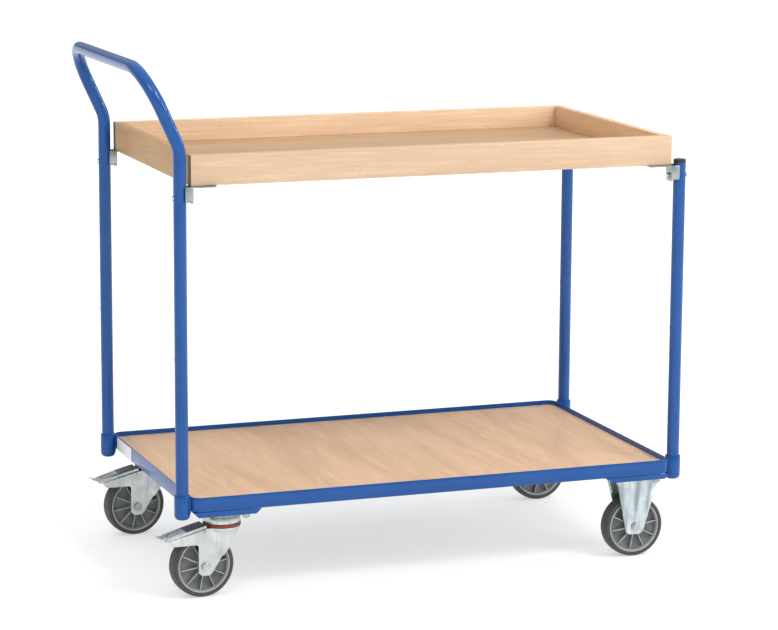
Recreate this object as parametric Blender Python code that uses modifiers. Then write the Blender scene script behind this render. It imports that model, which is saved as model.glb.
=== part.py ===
"""Table trolley: wheeled angle-iron deck, push handle and a box tray on four tubes.

Metres, +Z up, +X along the deck away from the push handle, -Y the front long side.
The origin is on the floor under the middle of the whole object's box.
"""
import math

import bmesh
import bpy
from mathutils import Matrix, Vector

GAP = 0.0003            # clearance between touching or nested pieces
WHEEL_STEPS = 28        # facets round a wheel
ROUND_STEPS = 24        # facets round a race, a seal or a socket
TUBE_SIDES = 12         # facets round a tube or a pin
CUT = 0.02              # how far a cutter reaches past the face it cuts

# Angle-iron deck frame and its wooden board
DECK_LENGTH = 1.0
DECK_WIDTH = 0.6
RAIL_BOTTOM = 0.1765
RAIL_TOP = 0.205
RAIL_WALL = 0.003
RAIL_LEG = 0.030
RAIL_CORNER = 0.020
BOARD_THICKNESS = 0.016
BOARD_PLAY = 0.0006

# Upright tubes, their sockets and the handle bends
TUBE_RADIUS = 0.0125
TUBE_WALL = 0.0015
POST_X = 0.5145
POST_Y = 0.2765
POST_TOP = 0.804
HANDLE_KNEE_Z = 0.870
HANDLE_LEAN = math.radians(24.5)
HANDLE_RISE = 0.163     # length of the leaning part, knee to crossbar
KNEE_RADIUS = 0.070
CORNER_RADIUS = 0.085
SHELF_HOLE_Z = 0.4715
SHELF_HOLE_RADIUS = 0.0030
SOCKET_RADIUS = 0.0153
SOCKET_BORE = 0.0131
SOCKET_BOTTOM = 0.160
SOCKET_FLOOR = 0.170
SOCKET_TOP = 0.208
CAP_HEIGHT = 0.0065

# Box tray
TRAY_LENGTH = 0.989
TRAY_WIDTH = 0.562
TRAY_BOTTOM = 0.800
TRAY_TOP = 0.858
TRAY_BOARD = 0.016
TRAY_FLOOR = 0.015

# Tray brackets and the bolts through the tubes
BRACKET_WALL = 0.0022
BRACKET_HALF_WIDTH = 0.0150
BRACKET_BACK = 0.0068   # from the tube's axis to the saddle's open edge
BRACKET_WEB = 0.0228    # from the tube's axis to the web's outer face
BRACKET_END = 0.0695    # from the tube's axis to the end of the flange under the tray
BRACKET_BOTTOM = 0.7675
BRACKET_BEND = 0.009
BOLT_Z = 0.7785
BOLT_RADIUS = 0.0030
BOLT_HEAD_RADIUS = 0.0048
BOLT_HEAD_HEIGHT = 0.0022
NUT_RADIUS = 0.0056
NUT_HEIGHT = 0.0045

# Corner plates under the rails
CORNER_PLATE_X = 0.4305
CORNER_PLATE_Y = 0.245
CORNER_PLATE_TOP_HALF = 0.0675
CORNER_PLATE_BASE_HALF = 0.0575
CORNER_PLATE_BOTTOM = 0.166
CORNER_PLATE_WALL = 0.003

# Casters: shared sizes
WHEEL_RADIUS = 0.0625
TYRE_HALF_WIDTH = 0.016
RIM_RADIUS = 0.0534
HUB_HALF_WIDTH = 0.0165
HUB_BORE = 0.0056
AXLE_RADIUS = 0.005
AXLE_HEAD_RADIUS = 0.0095
AXLE_HEAD_HEIGHT = 0.006
FORK_INNER = 0.0195
FORK_WALL = 0.0025
PLATE_LENGTH = 0.105
PLATE_WIDTH = 0.085
PLATE_BOTTOM = 0.163
CASTER_Y = 0.247

# Fixed casters
FIXED_X = 0.439
FIXED_TOP_HALF = 0.046
FIXED_FOOT_HALF = 0.019
FIXED_FOOT_Z = 0.0465
FIXED_SPLAY = 0.10

# Swivel casters, in the caster's own frame: the wheel trails towards -X
SWIVEL_X = 0.4274
SWIVEL_HEADING = math.radians(6.0)
TRAIL = 0.043
CROWN_TOP = 0.137
CROWN_WALL = 0.0028
CROWN_RADIUS = 0.036
CROWN_END = 0.037       # the crown's roof stops here, behind the swivel axis
FLARE_FOOT_RADIUS = 0.023
FLARE_FOOT_Z = 0.108
SEAL_RADIUS = 0.037
SEAL_INNER = 0.020
RACE_BOTTOM = 0.1433
RACE_RADIUS = 0.0365
KINGPIN_RADIUS = 0.006
KINGPIN_BORE = 0.0065

# Total-stop pedal, on a pin behind the crown
PEDAL_PIN_BACK = 0.044
PEDAL_PIN_Z = 0.130
PEDAL_PIN_RADIUS = 0.0025
PEDAL_HALF_WIDTH = 0.0189
PEDAL_WALL = 0.0024
PEDAL_TONGUE_HALF = 0.0125
PEDAL_BODY_END = 0.1185
PEDAL_TIP = 0.1368
SHOE_HALF_WIDTH = 0.013

# Blank type label on the end rail
LABEL_LENGTH = 0.113
LABEL_HEIGHT = 0.0262
LABEL_THICKNESS = 0.0006
LABEL_Y = 0.199

HANDLE_TOP_X = POST_X + HANDLE_RISE * math.sin(HANDLE_LEAN)
# The deck's middle is off the origin by half the difference of the two overhangs.
POST_OVERHANG = max(SOCKET_RADIUS, TUBE_RADIUS + GAP + BOLT_HEAD_HEIGHT)
DECK_X = (HANDLE_TOP_X + TUBE_RADIUS - POST_X - POST_OVERHANG) / 2

ENDS = {"left": -1, "right": 1}
SIDES = {"front": -1, "back": 1}


# ---------------------------------------------------------------- scene and materials

def clear_scene():
    for old in list(bpy.data.objects):
        bpy.data.objects.remove(old, do_unlink=True)


def make_collection(name):
    collection = bpy.data.collections.new(name)
    bpy.context.scene.collection.children.link(collection)
    return collection


def make_material(name, colour, roughness, metallic):
    material = bpy.data.materials.new(name)
    material.use_nodes = True
    shader = material.node_tree.nodes["Principled BSDF"]
    shader.inputs["Base Color"].default_value = (*colour, 1.0)
    shader.inputs["Roughness"].default_value = roughness
    shader.inputs["Metallic"].default_value = metallic
    material.diffuse_color = (*colour, 1.0)
    return material


def make_materials():
    return {
        "blue_paint": make_material("blue_paint", (0.05, 0.15, 0.43), 0.35, 0.0),
        "beech": make_material("beech", (0.78, 0.57, 0.38), 0.55, 0.0),
        "zinc": make_material("zinc", (0.68, 0.71, 0.70), 0.35, 0.9),
        "dark_steel": make_material("dark_steel", (0.20, 0.21, 0.24), 0.40, 0.8),
        "grey_plastic": make_material("grey_plastic", (0.30, 0.31, 0.33), 0.50, 0.0),
        "tyre_rubber": make_material("tyre_rubber", (0.05, 0.05, 0.05), 0.75, 0.0),
        "red_seal": make_material("red_seal", (0.36, 0.03, 0.02), 0.50, 0.0),
        "black_plastic": make_material("black_plastic", (0.015, 0.015, 0.016), 0.45, 0.0),
        "label_film": make_material("label_film", (0.86, 0.87, 0.88), 0.40, 0.0),
    }


# ---------------------------------------------------------------- shape helpers

def scratch_object(mesh):
    """A temporary object that carries modifiers until bake() turns it into a mesh."""
    obj = bpy.data.objects.new("scratch", mesh)
    bpy.context.scene.collection.objects.link(obj)
    return obj


def bake(obj):
    """The object's evaluated mesh, welded; the temporary object is removed."""
    bpy.context.view_layer.update()
    depsgraph = bpy.context.evaluated_depsgraph_get()
    mesh = bpy.data.meshes.new_from_object(obj.evaluated_get(depsgraph))
    shape = bmesh.new()
    shape.from_mesh(mesh)
    bmesh.ops.remove_doubles(shape, verts=shape.verts, dist=0.00001)
    shape.to_mesh(mesh)
    shape.free()
    bpy.data.objects.remove(obj, do_unlink=True)
    return mesh


def boolean(mesh, tools, operation):
    """The mesh cut by, or joined with, each of the tool meshes."""
    target = scratch_object(mesh)
    helpers = [scratch_object(tool) for tool in tools]
    for helper in helpers:
        modifier = target.modifiers.new(operation.lower(), "BOOLEAN")
        modifier.operation = operation
        modifier.solver = "EXACT"
        modifier.object = helper
    result = bake(target)
    for helper in helpers:
        bpy.data.objects.remove(helper, do_unlink=True)
    return result


def cut(mesh, *tools):
    return boolean(mesh, tools, "DIFFERENCE")


def join(mesh, *tools):
    return boolean(mesh, tools, "UNION")


def box(low, high, corner=0.0):
    """A box between two corners; its upright edges are rounded by corner."""
    shape = bmesh.new()
    bmesh.ops.create_cube(shape, size=1.0)
    size = Vector(high) - Vector(low)
    middle = (Vector(high) + Vector(low)) / 2
    shape.transform(Matrix.Translation(middle) @ Matrix.Diagonal((*size, 1.0)))
    if corner:
        upright = [e for e in shape.edges if abs(e.verts[0].co.z - e.verts[1].co.z) > size.z / 2]
        bmesh.ops.bevel(shape, geom=upright, offset=corner, segments=4, profile=0.5,
                        affect="EDGES")
    mesh = bpy.data.meshes.new("box")
    shape.to_mesh(mesh)
    shape.free()
    return mesh


def rod(radius, start, end, sides=TUBE_SIDES):
    """A solid cylinder, or a hexagon with six sides, between two points."""
    start = Vector(start)
    run = Vector(end) - start
    aim = run.to_track_quat("Z", "Y").to_matrix().to_4x4()
    shape = bmesh.new()
    bmesh.ops.create_cone(shape, cap_ends=True, segments=sides, radius1=radius, radius2=radius,
                          depth=run.length, matrix=Matrix.Translation(start + run / 2) @ aim)
    mesh = bpy.data.meshes.new("rod")
    shape.to_mesh(mesh)
    shape.free()
    return mesh


def turned(profile, closed=False, steps=ROUND_STEPS):
    """A profile of (radius, height) points turned about Z; it runs down its outer side."""
    shape = bmesh.new()
    points = [shape.verts.new((radius, 0.0, height)) for radius, height in profile]
    for start, end in zip(points, points[1:]):
        shape.edges.new((start, end))
    if closed:
        shape.edges.new((points[-1], points[0]))
    mesh = bpy.data.meshes.new("turned")
    shape.to_mesh(mesh)
    shape.free()
    obj = scratch_object(mesh)
    screw = obj.modifiers.new("turn", "SCREW")
    screw.steps = steps
    screw.render_steps = steps
    screw.use_merge_vertices = True
    screw.merge_threshold = 0.00001
    return bake(obj)


def rounded_outline(corners, steps=4):
    """Points round an outline; each corner is (x, z, radius), and its arc is computed."""
    points = []
    for index, (x, z, radius) in enumerate(corners):
        here = Vector((x, z))
        before = Vector(corners[index - 1][:2])
        after = Vector(corners[(index + 1) % len(corners)][:2])
        if not radius:
            points.append(here)
            continue
        back = (before - here).normalized()
        ahead = (after - here).normalized()
        half = back.angle(ahead) / 2
        middle = here + (back + ahead).normalized() * (radius / math.sin(half))
        first = here + back * (radius / math.tan(half)) - middle
        last = here + ahead * (radius / math.tan(half)) - middle
        sweep = first.angle_signed(last)
        for step in range(steps + 1):
            angle = -sweep * step / steps
            points.append(middle + Matrix.Rotation(angle, 2) @ first)
    return points


def side_plate(corners, half_width):
    """An outline in the XZ plane, extruded to half_width on both sides of Y = 0."""
    curve = bpy.data.curves.new("outline", "CURVE")
    curve.dimensions = "2D"
    curve.fill_mode = "BOTH"
    curve.extrude = half_width
    spline = curve.splines.new("POLY")
    outline = rounded_outline(corners)
    spline.points.add(len(outline) - 1)
    for point, (x, z) in zip(spline.points, outline):
        point.co = (x, z, 0.0, 1.0)
    spline.use_cyclic_u = True
    mesh = bake(scratch_object(curve))
    mesh.transform(Matrix.Rotation(math.pi / 2, 4, "X"))
    return mesh


def splayed(mesh, slope, level):
    """Lean the mesh's two sides outwards: they keep their Y at the given height."""
    for vertex in mesh.vertices:
        side = 1 if vertex.co.y > 0 else -1
        vertex.co.y += side * slope * (vertex.co.z - level)
    return mesh


def tube(path):
    """A hollow tube, open at both ends, whose outer skin follows the path."""
    curve = bpy.data.curves.new("path", "CURVE")
    curve.dimensions = "3D"
    curve.bevel_depth = TUBE_RADIUS
    curve.bevel_resolution = (TUBE_SIDES - 4) // 2
    spline = curve.splines.new("POLY")
    spline.points.add(len(path) - 1)
    for point, place in zip(spline.points, path):
        point.co = (*place, 1.0)
    skin = scratch_object(bake(scratch_object(curve)))
    wall = skin.modifiers.new("wall", "SOLIDIFY")
    wall.thickness = TUBE_WALL
    wall.offset = -1.0
    wall.use_even_offset = True
    return bake(skin)


# ---------------------------------------------------------------- deck

def deck_frame_mesh():
    """One ring of angle iron: an upright wall with a leg inwards along its foot."""
    half_x = DECK_LENGTH / 2
    half_y = DECK_WIDTH / 2
    outer = box((-half_x, -half_y, RAIL_BOTTOM), (half_x, half_y, RAIL_TOP), RAIL_CORNER)
    inner_x = half_x - RAIL_WALL
    inner_y = half_y - RAIL_WALL
    pocket = box((-inner_x, -inner_y, RAIL_BOTTOM + RAIL_WALL), (inner_x, inner_y, RAIL_TOP + CUT),
                 RAIL_CORNER - RAIL_WALL)
    leg_x = half_x - RAIL_LEG
    leg_y = half_y - RAIL_LEG
    window = box((-leg_x, -leg_y, RAIL_BOTTOM - CUT), (leg_x, leg_y, RAIL_TOP + CUT))
    return cut(outer, pocket, window)


def deck_board_mesh():
    half_x = DECK_LENGTH / 2 - RAIL_WALL - BOARD_PLAY
    half_y = DECK_WIDTH / 2 - RAIL_WALL - BOARD_PLAY
    bottom = RAIL_BOTTOM + RAIL_WALL + GAP
    return box((-half_x, -half_y, bottom), (half_x, half_y, bottom + BOARD_THICKNESS),
               RAIL_CORNER - RAIL_WALL)


def corner_plate_mesh():
    """A channel under the rail: a flat base with an upstand along each long side."""
    top = RAIL_BOTTOM - GAP
    half_y = DECK_WIDTH / 2 - CORNER_PLATE_Y
    solid = side_plate([(-CORNER_PLATE_TOP_HALF, top, 0.0),
                        (-CORNER_PLATE_BASE_HALF, CORNER_PLATE_BOTTOM, 0.003),
                        (CORNER_PLATE_BASE_HALF, CORNER_PLATE_BOTTOM, 0.003),
                        (CORNER_PLATE_TOP_HALF, top, 0.0)], half_y)
    inner_y = half_y - CORNER_PLATE_WALL
    trough = box((-2 * CORNER_PLATE_TOP_HALF, -inner_y, CORNER_PLATE_BOTTOM + CORNER_PLATE_WALL),
                 (2 * CORNER_PLATE_TOP_HALF, inner_y, top + CUT))
    return cut(solid, trough)


def label_mesh():
    return box((-LABEL_THICKNESS, -LABEL_LENGTH / 2, -LABEL_HEIGHT / 2),
               (0.0, LABEL_LENGTH / 2, LABEL_HEIGHT / 2))


def build_deck(place, materials, base):
    blue = materials["blue_paint"]
    place("deck_frame", deck_frame_mesh(), blue, base)
    place("deck_board", deck_board_mesh(), materials["beech"], base)
    plate = corner_plate_mesh()
    for side, s in SIDES.items():
        for end, e in ENDS.items():
            turn = 0.0 if s < 0 else math.pi
            place(f"corner_plate_{side}_{end}", plate, blue, base,
                  (e * CORNER_PLATE_X, s * CORNER_PLATE_Y, 0.0), turn)
    label_z = (RAIL_BOTTOM + RAIL_TOP) / 2
    place("label_plate", label_mesh(), materials["label_film"], base,
          (-DECK_LENGTH / 2 - GAP, LABEL_Y, label_z))


# ---------------------------------------------------------------- tubes and sockets

def arc(middle, from_direction, to_direction, radius, steps):
    """Points on a quarter-turn or less about middle, from one unit direction to another."""
    sweep = from_direction.angle(to_direction)
    axis = from_direction.cross(to_direction).normalized()
    return [middle + Matrix.Rotation(sweep * step / steps, 3, axis) @ from_direction * radius
            for step in range(steps + 1)]


def handle_path():
    """Up one post, over its knee, round the top corner; then the same mirrored."""
    up = Vector((0.0, 0.0, 1.0))
    lean = Vector((-math.sin(HANDLE_LEAN), 0.0, math.cos(HANDLE_LEAN)))
    inwards = Vector((0.0, -1.0, 0.0))
    knee = Vector((-POST_X, POST_Y, HANDLE_KNEE_Z))
    top = knee + lean * HANDLE_RISE
    half = [Vector((-POST_X, POST_Y, SOCKET_FLOOR + GAP))]
    knee_start = knee - up * KNEE_RADIUS * math.tan(HANDLE_LEAN / 2)
    knee_middle = knee_start + Vector((-KNEE_RADIUS, 0.0, 0.0))
    knee_out = Vector((math.cos(HANDLE_LEAN), 0.0, math.sin(HANDLE_LEAN)))
    half += arc(knee_middle, Vector((1.0, 0.0, 0.0)), knee_out, KNEE_RADIUS, 4)
    corner_middle = top - lean * CORNER_RADIUS + inwards * CORNER_RADIUS
    half += arc(corner_middle, -inwards, lean, CORNER_RADIUS, 8)
    return half + [Vector((p.x, -p.y, p.z)) for p in reversed(half)]


def tube_holes():
    """Cutters along X: the tray bolt's hole and the spare shelf hole."""
    return [rod(radius, (-2 * TUBE_RADIUS, 0.0, z), (2 * TUBE_RADIUS, 0.0, z))
            for radius, z in ((BOLT_RADIUS + GAP, BOLT_Z), (SHELF_HOLE_RADIUS, SHELF_HOLE_Z))]


def handle_mesh():
    cutters = []
    for y in (-POST_Y, POST_Y):
        for cutter in tube_holes():
            cutter.transform(Matrix.Translation((-POST_X, y, 0.0)))
            cutters.append(cutter)
    return cut(tube(handle_path()), *cutters)


def post_mesh():
    return cut(tube([(0.0, 0.0, SOCKET_FLOOR + GAP), (0.0, 0.0, POST_TOP)]), *tube_holes())


def cap_mesh():
    """A flat plastic cap with a plug down the tube."""
    bore = TUBE_RADIUS - TUBE_WALL
    plug = (bore - GAP) * math.cos(math.pi / TUBE_SIDES)
    head = POST_TOP + GAP
    return turned([(0.0, head + CAP_HEIGHT), (TUBE_RADIUS - 0.0015, head + CAP_HEIGHT),
                   (TUBE_RADIUS, head + CAP_HEIGHT - 0.0015), (TUBE_RADIUS, head), (plug, head),
                   (plug, head - 0.012), (0.0, head - 0.012)], steps=TUBE_SIDES)


def socket_mesh():
    """A round-bottomed cup whose flat side, on +X, is welded to the frame's end."""
    nose = SOCKET_RADIUS * 0.6
    profile = [(0.0, SOCKET_FLOOR), (SOCKET_BORE, SOCKET_FLOOR), (SOCKET_BORE, SOCKET_TOP),
               (SOCKET_RADIUS, SOCKET_TOP)]
    for step in range(5):
        angle = math.radians(90) * step / 4
        profile.append((SOCKET_RADIUS - nose * (1 - math.cos(angle)),
                        SOCKET_BOTTOM + nose * (1 - math.sin(angle))))
    profile.append((0.0, SOCKET_BOTTOM))
    cup = turned(profile)
    flat = POST_X - DECK_LENGTH / 2 - GAP
    link = cut(box((0.004, -0.010, 0.172), (flat, 0.010, 0.203)),
               rod(SOCKET_BORE + GAP, (0.0, 0.0, SOCKET_FLOOR - CUT), (0.0, 0.0, SOCKET_TOP + CUT)))
    beyond = box((flat, -0.1, SOCKET_BOTTOM - CUT), (0.1, 0.1, SOCKET_TOP + CUT))
    return cut(join(cup, link), beyond)


def build_tubes(place, materials, base):
    blue = materials["blue_paint"]
    place("push_handle", handle_mesh(), blue, base)
    post = post_mesh()
    cap = cap_mesh()
    socket = socket_mesh()
    for side, s in SIDES.items():
        place(f"post_{side}_right", post, blue, base, (POST_X, s * POST_Y, 0.0))
        place(f"post_cap_{side}_right", cap, materials["black_plastic"], base,
              (POST_X, s * POST_Y, 0.0))
        for end, e in ENDS.items():
            turn = 0.0 if e < 0 else math.pi
            place(f"socket_{side}_{end}", socket, blue, base, (e * POST_X, s * POST_Y, 0.0), turn)


# ---------------------------------------------------------------- tray

def bracket_mesh():
    """A saddle open towards the tube, with a flange from its web under the tray."""
    top = TRAY_BOTTOM - GAP
    saddle = side_plate([(-BRACKET_HALF_WIDTH, top, 0.0),
                         (-BRACKET_HALF_WIDTH, BRACKET_BOTTOM, BRACKET_BEND),
                         (BRACKET_HALF_WIDTH, BRACKET_BOTTOM, BRACKET_BEND),
                         (BRACKET_HALF_WIDTH, top, 0.0)], (BRACKET_WEB - BRACKET_BACK) / 2)
    saddle.transform(Matrix.Rotation(math.pi / 2, 4, "Z"))
    saddle.transform(Matrix.Translation(((BRACKET_WEB + BRACKET_BACK) / 2, 0.0, 0.0)))
    room_y = TUBE_RADIUS + GAP
    room_x = BRACKET_WEB - BRACKET_WALL
    room = box((-CUT, -room_y, BRACKET_BOTTOM - CUT), (room_x, room_y, TRAY_BOTTOM + CUT))
    flange_y = BRACKET_HALF_WIDTH - GAP
    flange = box((BRACKET_WEB - BRACKET_WALL / 2, -flange_y, top - BRACKET_WALL),
                 (BRACKET_END, flange_y, top))
    hole = rod(BOLT_RADIUS + GAP, (0.0, 0.0, BOLT_Z), (2 * BRACKET_WEB, 0.0, BOLT_Z))
    return cut(join(cut(saddle, room), flange), hole)


def bracket_bolt_mesh():
    """Hexagon head outside the tube, shank through it, nut on the bracket's web."""
    head_face = -TUBE_RADIUS - GAP
    nut_face = BRACKET_WEB + GAP
    shank = rod(BOLT_RADIUS, (head_face - BOLT_HEAD_HEIGHT / 2, 0.0, BOLT_Z),
                (nut_face + NUT_HEIGHT + 0.002, 0.0, BOLT_Z))
    head = rod(BOLT_HEAD_RADIUS, (head_face - BOLT_HEAD_HEIGHT, 0.0, BOLT_Z),
               (head_face, 0.0, BOLT_Z), 6)
    nut = rod(NUT_RADIUS, (nut_face, 0.0, BOLT_Z), (nut_face + NUT_HEIGHT, 0.0, BOLT_Z), 6)
    return join(shank, head, nut)


def build_tray(place, materials, base):
    wood = materials["beech"]
    half_x = TRAY_LENGTH / 2
    half_y = TRAY_WIDTH / 2
    inner_x = half_x - TRAY_BOARD
    inner_y = half_y - TRAY_BOARD
    floor = box((-inner_x + GAP, -inner_y + GAP, TRAY_BOTTOM),
                (inner_x - GAP, inner_y - GAP, TRAY_BOTTOM + TRAY_FLOOR))
    place("tray_floor", floor, wood, base)
    long_board = box((-half_x, -TRAY_BOARD / 2, TRAY_BOTTOM), (half_x, TRAY_BOARD / 2, TRAY_TOP))
    short_board = box((-TRAY_BOARD / 2, -inner_y + GAP, TRAY_BOTTOM),
                      (TRAY_BOARD / 2, inner_y - GAP, TRAY_TOP))
    for side, s in SIDES.items():
        place(f"tray_rim_{side}", long_board, wood, base, (0.0, s * (half_y - TRAY_BOARD / 2), 0.0))
    for end, e in ENDS.items():
        place(f"tray_rim_{end}", short_board, wood, base, (e * (half_x - TRAY_BOARD / 2), 0.0, 0.0))
    bracket = bracket_mesh()
    bolt = bracket_bolt_mesh()
    for side, s in SIDES.items():
        for end, e in ENDS.items():
            turn = 0.0 if e < 0 else math.pi
            spot = (e * POST_X, s * POST_Y, 0.0)
            place(f"tray_bracket_{side}_{end}", bracket, materials["zinc"], base, spot, turn)
            place(f"bracket_bolt_{side}_{end}", bolt, materials["zinc"], base, spot, turn)


# ---------------------------------------------------------------- caster pieces

def tyre_mesh():
    """Rubber tread, turned about its own Z axis."""
    half = TYRE_HALF_WIDTH
    inner = RIM_RADIUS + GAP
    shoulder = [(inner, half - 0.0005), (WHEEL_RADIUS - 0.0035, half),
                (WHEEL_RADIUS - 0.001, half - 0.002),
                (WHEEL_RADIUS, half - 0.007)]
    mirrored = [(radius, -height) for radius, height in reversed(shoulder)]
    return turned(shoulder + mirrored, closed=True, steps=WHEEL_STEPS)


def rim_mesh():
    """Hub, thin disc and outer ring of one plastic moulding, bored for the axle."""
    section = [(RIM_RADIUS, 0.015), (RIM_RADIUS, -0.015), (0.0475, -0.015), (0.046, -0.003),
               (0.016, -0.0045), (0.0135, -HUB_HALF_WIDTH), (HUB_BORE, -HUB_HALF_WIDTH),
               (HUB_BORE, HUB_HALF_WIDTH), (0.0135, HUB_HALF_WIDTH), (0.016, 0.0045),
               (0.046, 0.003), (0.0475, 0.015)]
    return turned(section, closed=True, steps=WHEEL_STEPS)


def axle_mesh():
    """Bolt along Y with its head on the -Y side and a nut on the +Y side."""
    face = FORK_INNER + FORK_WALL + GAP
    shank = rod(AXLE_RADIUS, (0.0, -face - AXLE_HEAD_HEIGHT / 2, 0.0),
                (0.0, face + AXLE_HEAD_HEIGHT + 0.002, 0.0))
    head = rod(AXLE_HEAD_RADIUS, (0.0, -face - AXLE_HEAD_HEIGHT, 0.0), (0.0, -face, 0.0), 6)
    nut = rod(AXLE_HEAD_RADIUS, (0.0, face, 0.0), (0.0, face + AXLE_HEAD_HEIGHT, 0.0), 6)
    return join(shank, head, nut)


def axle_hole(x):
    reach = 2 * FORK_INNER
    return rod(AXLE_RADIUS + GAP, (x, -reach, WHEEL_RADIUS), (x, reach, WHEEL_RADIUS))


def caster_plate_mesh():
    return box((-PLATE_LENGTH / 2, -PLATE_WIDTH / 2, PLATE_BOTTOM),
               (PLATE_LENGTH / 2, PLATE_WIDTH / 2, CORNER_PLATE_BOTTOM - GAP), 0.008)


def fixed_fork_mesh():
    """Mounting plate with two splayed cheeks that narrow down to the axle."""
    top = CORNER_PLATE_BOTTOM - GAP
    outline = [(-FIXED_TOP_HALF, top, 0.0), (-FIXED_FOOT_HALF, FIXED_FOOT_Z, 0.012),
               (FIXED_FOOT_HALF, FIXED_FOOT_Z, 0.012), (FIXED_TOP_HALF, top, 0.0)]
    level = WHEEL_RADIUS + AXLE_HEAD_RADIUS
    cheeks = splayed(side_plate(outline, FORK_INNER + FORK_WALL), FIXED_SPLAY, level)
    room = box((-0.1, -FORK_INNER, 0.0), (0.1, FORK_INNER, PLATE_BOTTOM))
    room = splayed(room, FIXED_SPLAY, level)
    return cut(join(cut(cheeks, room), caster_plate_mesh()), axle_hole(0.0))


def swivel_head_mesh():
    """Mounting plate with the upper ball race pressed into it, bored for the kingpin."""
    bore = KINGPIN_BORE
    race = turned([(bore, 0.1645), (0.029, 0.1645), (0.032, 0.158), (RACE_RADIUS, 0.1555),
                   (RACE_RADIUS, 0.146), (0.035, RACE_BOTTOM), (bore, RACE_BOTTOM)], closed=True)
    hole = rod(bore, (0.0, 0.0, PLATE_BOTTOM - CUT / 2), (0.0, 0.0, PLATE_BOTTOM + CUT), ROUND_STEPS)
    return cut(join(caster_plate_mesh(), race), hole)


def kingpin_mesh():
    head_top = CROWN_TOP - CROWN_WALL - GAP
    return turned([(0.0, 0.1645), (KINGPIN_RADIUS, 0.1645), (KINGPIN_RADIUS, head_top),
                   (0.010, head_top), (0.010, head_top - 0.0035), (0.0085, head_top - 0.005),
                   (0.0, head_top - 0.005)], steps=TUBE_SIDES)


def seal_mesh():
    bottom = CROWN_TOP + GAP
    top = RACE_BOTTOM - GAP
    return turned([(SEAL_INNER, top), (SEAL_RADIUS, top), (SEAL_RADIUS, bottom),
                   (SEAL_INNER, bottom)], closed=True)


def swivel_fork_mesh():
    """Crown with a flared neck; each cheek has a leg to the axle and an arm under the pedal."""
    outline = [(0.030, CROWN_TOP, 0.0), (-0.0274, 0.0498, 0.004), (-0.033, 0.0438, 0.003),
               (-0.050, 0.0438, 0.006), (-0.057, 0.0505, 0.004), (-0.057, 0.1060, 0.004),
               (-0.112, 0.1075, 0.010), (-0.1185, 0.1190, 0.002), (-0.062, 0.1315, 0.030),
               (-0.038, CROWN_TOP, 0.010)]
    cheeks = side_plate(outline, FORK_INNER + FORK_WALL)
    neck = turned([(0.0, CROWN_TOP), (CROWN_RADIUS, CROWN_TOP), (CROWN_RADIUS, CROWN_TOP - 0.003),
                   (FLARE_FOOT_RADIUS, FLARE_FOOT_Z), (0.0, FLARE_FOOT_Z)])
    room = box((-0.2, -FORK_INNER, 0.0), (0.1, FORK_INNER, CROWN_TOP - CROWN_WALL))
    roof_gap = box((-0.2, -FORK_INNER, 0.1), (-CROWN_END, FORK_INNER, CROWN_TOP + CUT))
    pin_hole = rod(PEDAL_PIN_RADIUS + GAP, (-PEDAL_PIN_BACK, -CUT * 2, PEDAL_PIN_Z),
                   (-PEDAL_PIN_BACK, CUT * 2, PEDAL_PIN_Z))
    king_hole = rod(KINGPIN_BORE, (0.0, 0.0, CROWN_TOP - CUT), (0.0, 0.0, CROWN_TOP + CUT))
    return cut(join(cheeks, neck), room, roof_gap, axle_hole(-TRAIL), pin_hole, king_hole)


def pedal_mesh():
    """A shallow channel over the arms that ends in a narrower, upturned tongue."""
    half = PEDAL_HALF_WIDTH
    crest = [(-0.0395, 0.1425), (-0.0600, 0.1382), (-0.0800, 0.1334), (-0.1000, 0.1280),
             (-PEDAL_BODY_END, 0.1230)]
    tongue = [(-PEDAL_BODY_END, 0.1165, 0.002), (-PEDAL_BODY_END, 0.1207, 0.0),
              (-0.1280, 0.1212, 0.0), (-PEDAL_TIP, 0.1250, 0.0), (-PEDAL_TIP, 0.1274, 0.0),
              (-0.1280, 0.1235, 0.0)]
    flange_foot = [(-0.0375, 0.1255, 0.002), (-0.0500, 0.1255, 0.004), (-0.0560, 0.1290, 0.002)]
    outline = flange_foot + tongue + [(x, z, 0.0) for x, z in reversed(crest)]
    solid = side_plate(outline, half)
    end_wall = -PEDAL_BODY_END + 0.002
    ceiling = [(x, z - PEDAL_WALL, 0.0) for x, z in crest[:-1]] + [(end_wall, 0.1210, 0.0)]
    channel = side_plate([(-0.030, 0.1100, 0.0), (-0.030, 0.1420, 0.0)] + ceiling
                         + [(end_wall, 0.1100, 0.0)], half - PEDAL_WALL)
    past_end = -PEDAL_BODY_END - GAP
    trims = [box((-0.2, PEDAL_TONGUE_HALF, 0.1), (past_end, 2 * half, 0.2)),
             box((-0.2, -2 * half, 0.1), (past_end, -PEDAL_TONGUE_HALF, 0.2))]
    pin_hole = rod(PEDAL_PIN_RADIUS + GAP, (-PEDAL_PIN_BACK, -2 * half, PEDAL_PIN_Z),
                   (-PEDAL_PIN_BACK, 2 * half, PEDAL_PIN_Z))
    return moved_to_pin(cut(solid, channel, *trims, pin_hole))


def shoe_mesh():
    """The block under the pedal that the tread is braked with."""
    mesh = side_plate([(-0.056, 0.1362, 0.0), (-0.056, 0.1280, 0.002), (-0.076, 0.1242, 0.002),
                       (-0.076, 0.1314, 0.0)], SHOE_HALF_WIDTH)
    return moved_to_pin(mesh)


def moved_to_pin(mesh):
    """Put the pedal pin's axis on the mesh's own origin."""
    mesh.transform(Matrix.Translation((PEDAL_PIN_BACK, 0.0, -PEDAL_PIN_Z)))
    return mesh


def pedal_pin_mesh():
    reach = FORK_INNER + FORK_WALL + 0.0012
    return rod(PEDAL_PIN_RADIUS, (-PEDAL_PIN_BACK, -reach, PEDAL_PIN_Z),
               (-PEDAL_PIN_BACK, reach, PEDAL_PIN_Z))


# ---------------------------------------------------------------- casters

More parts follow.
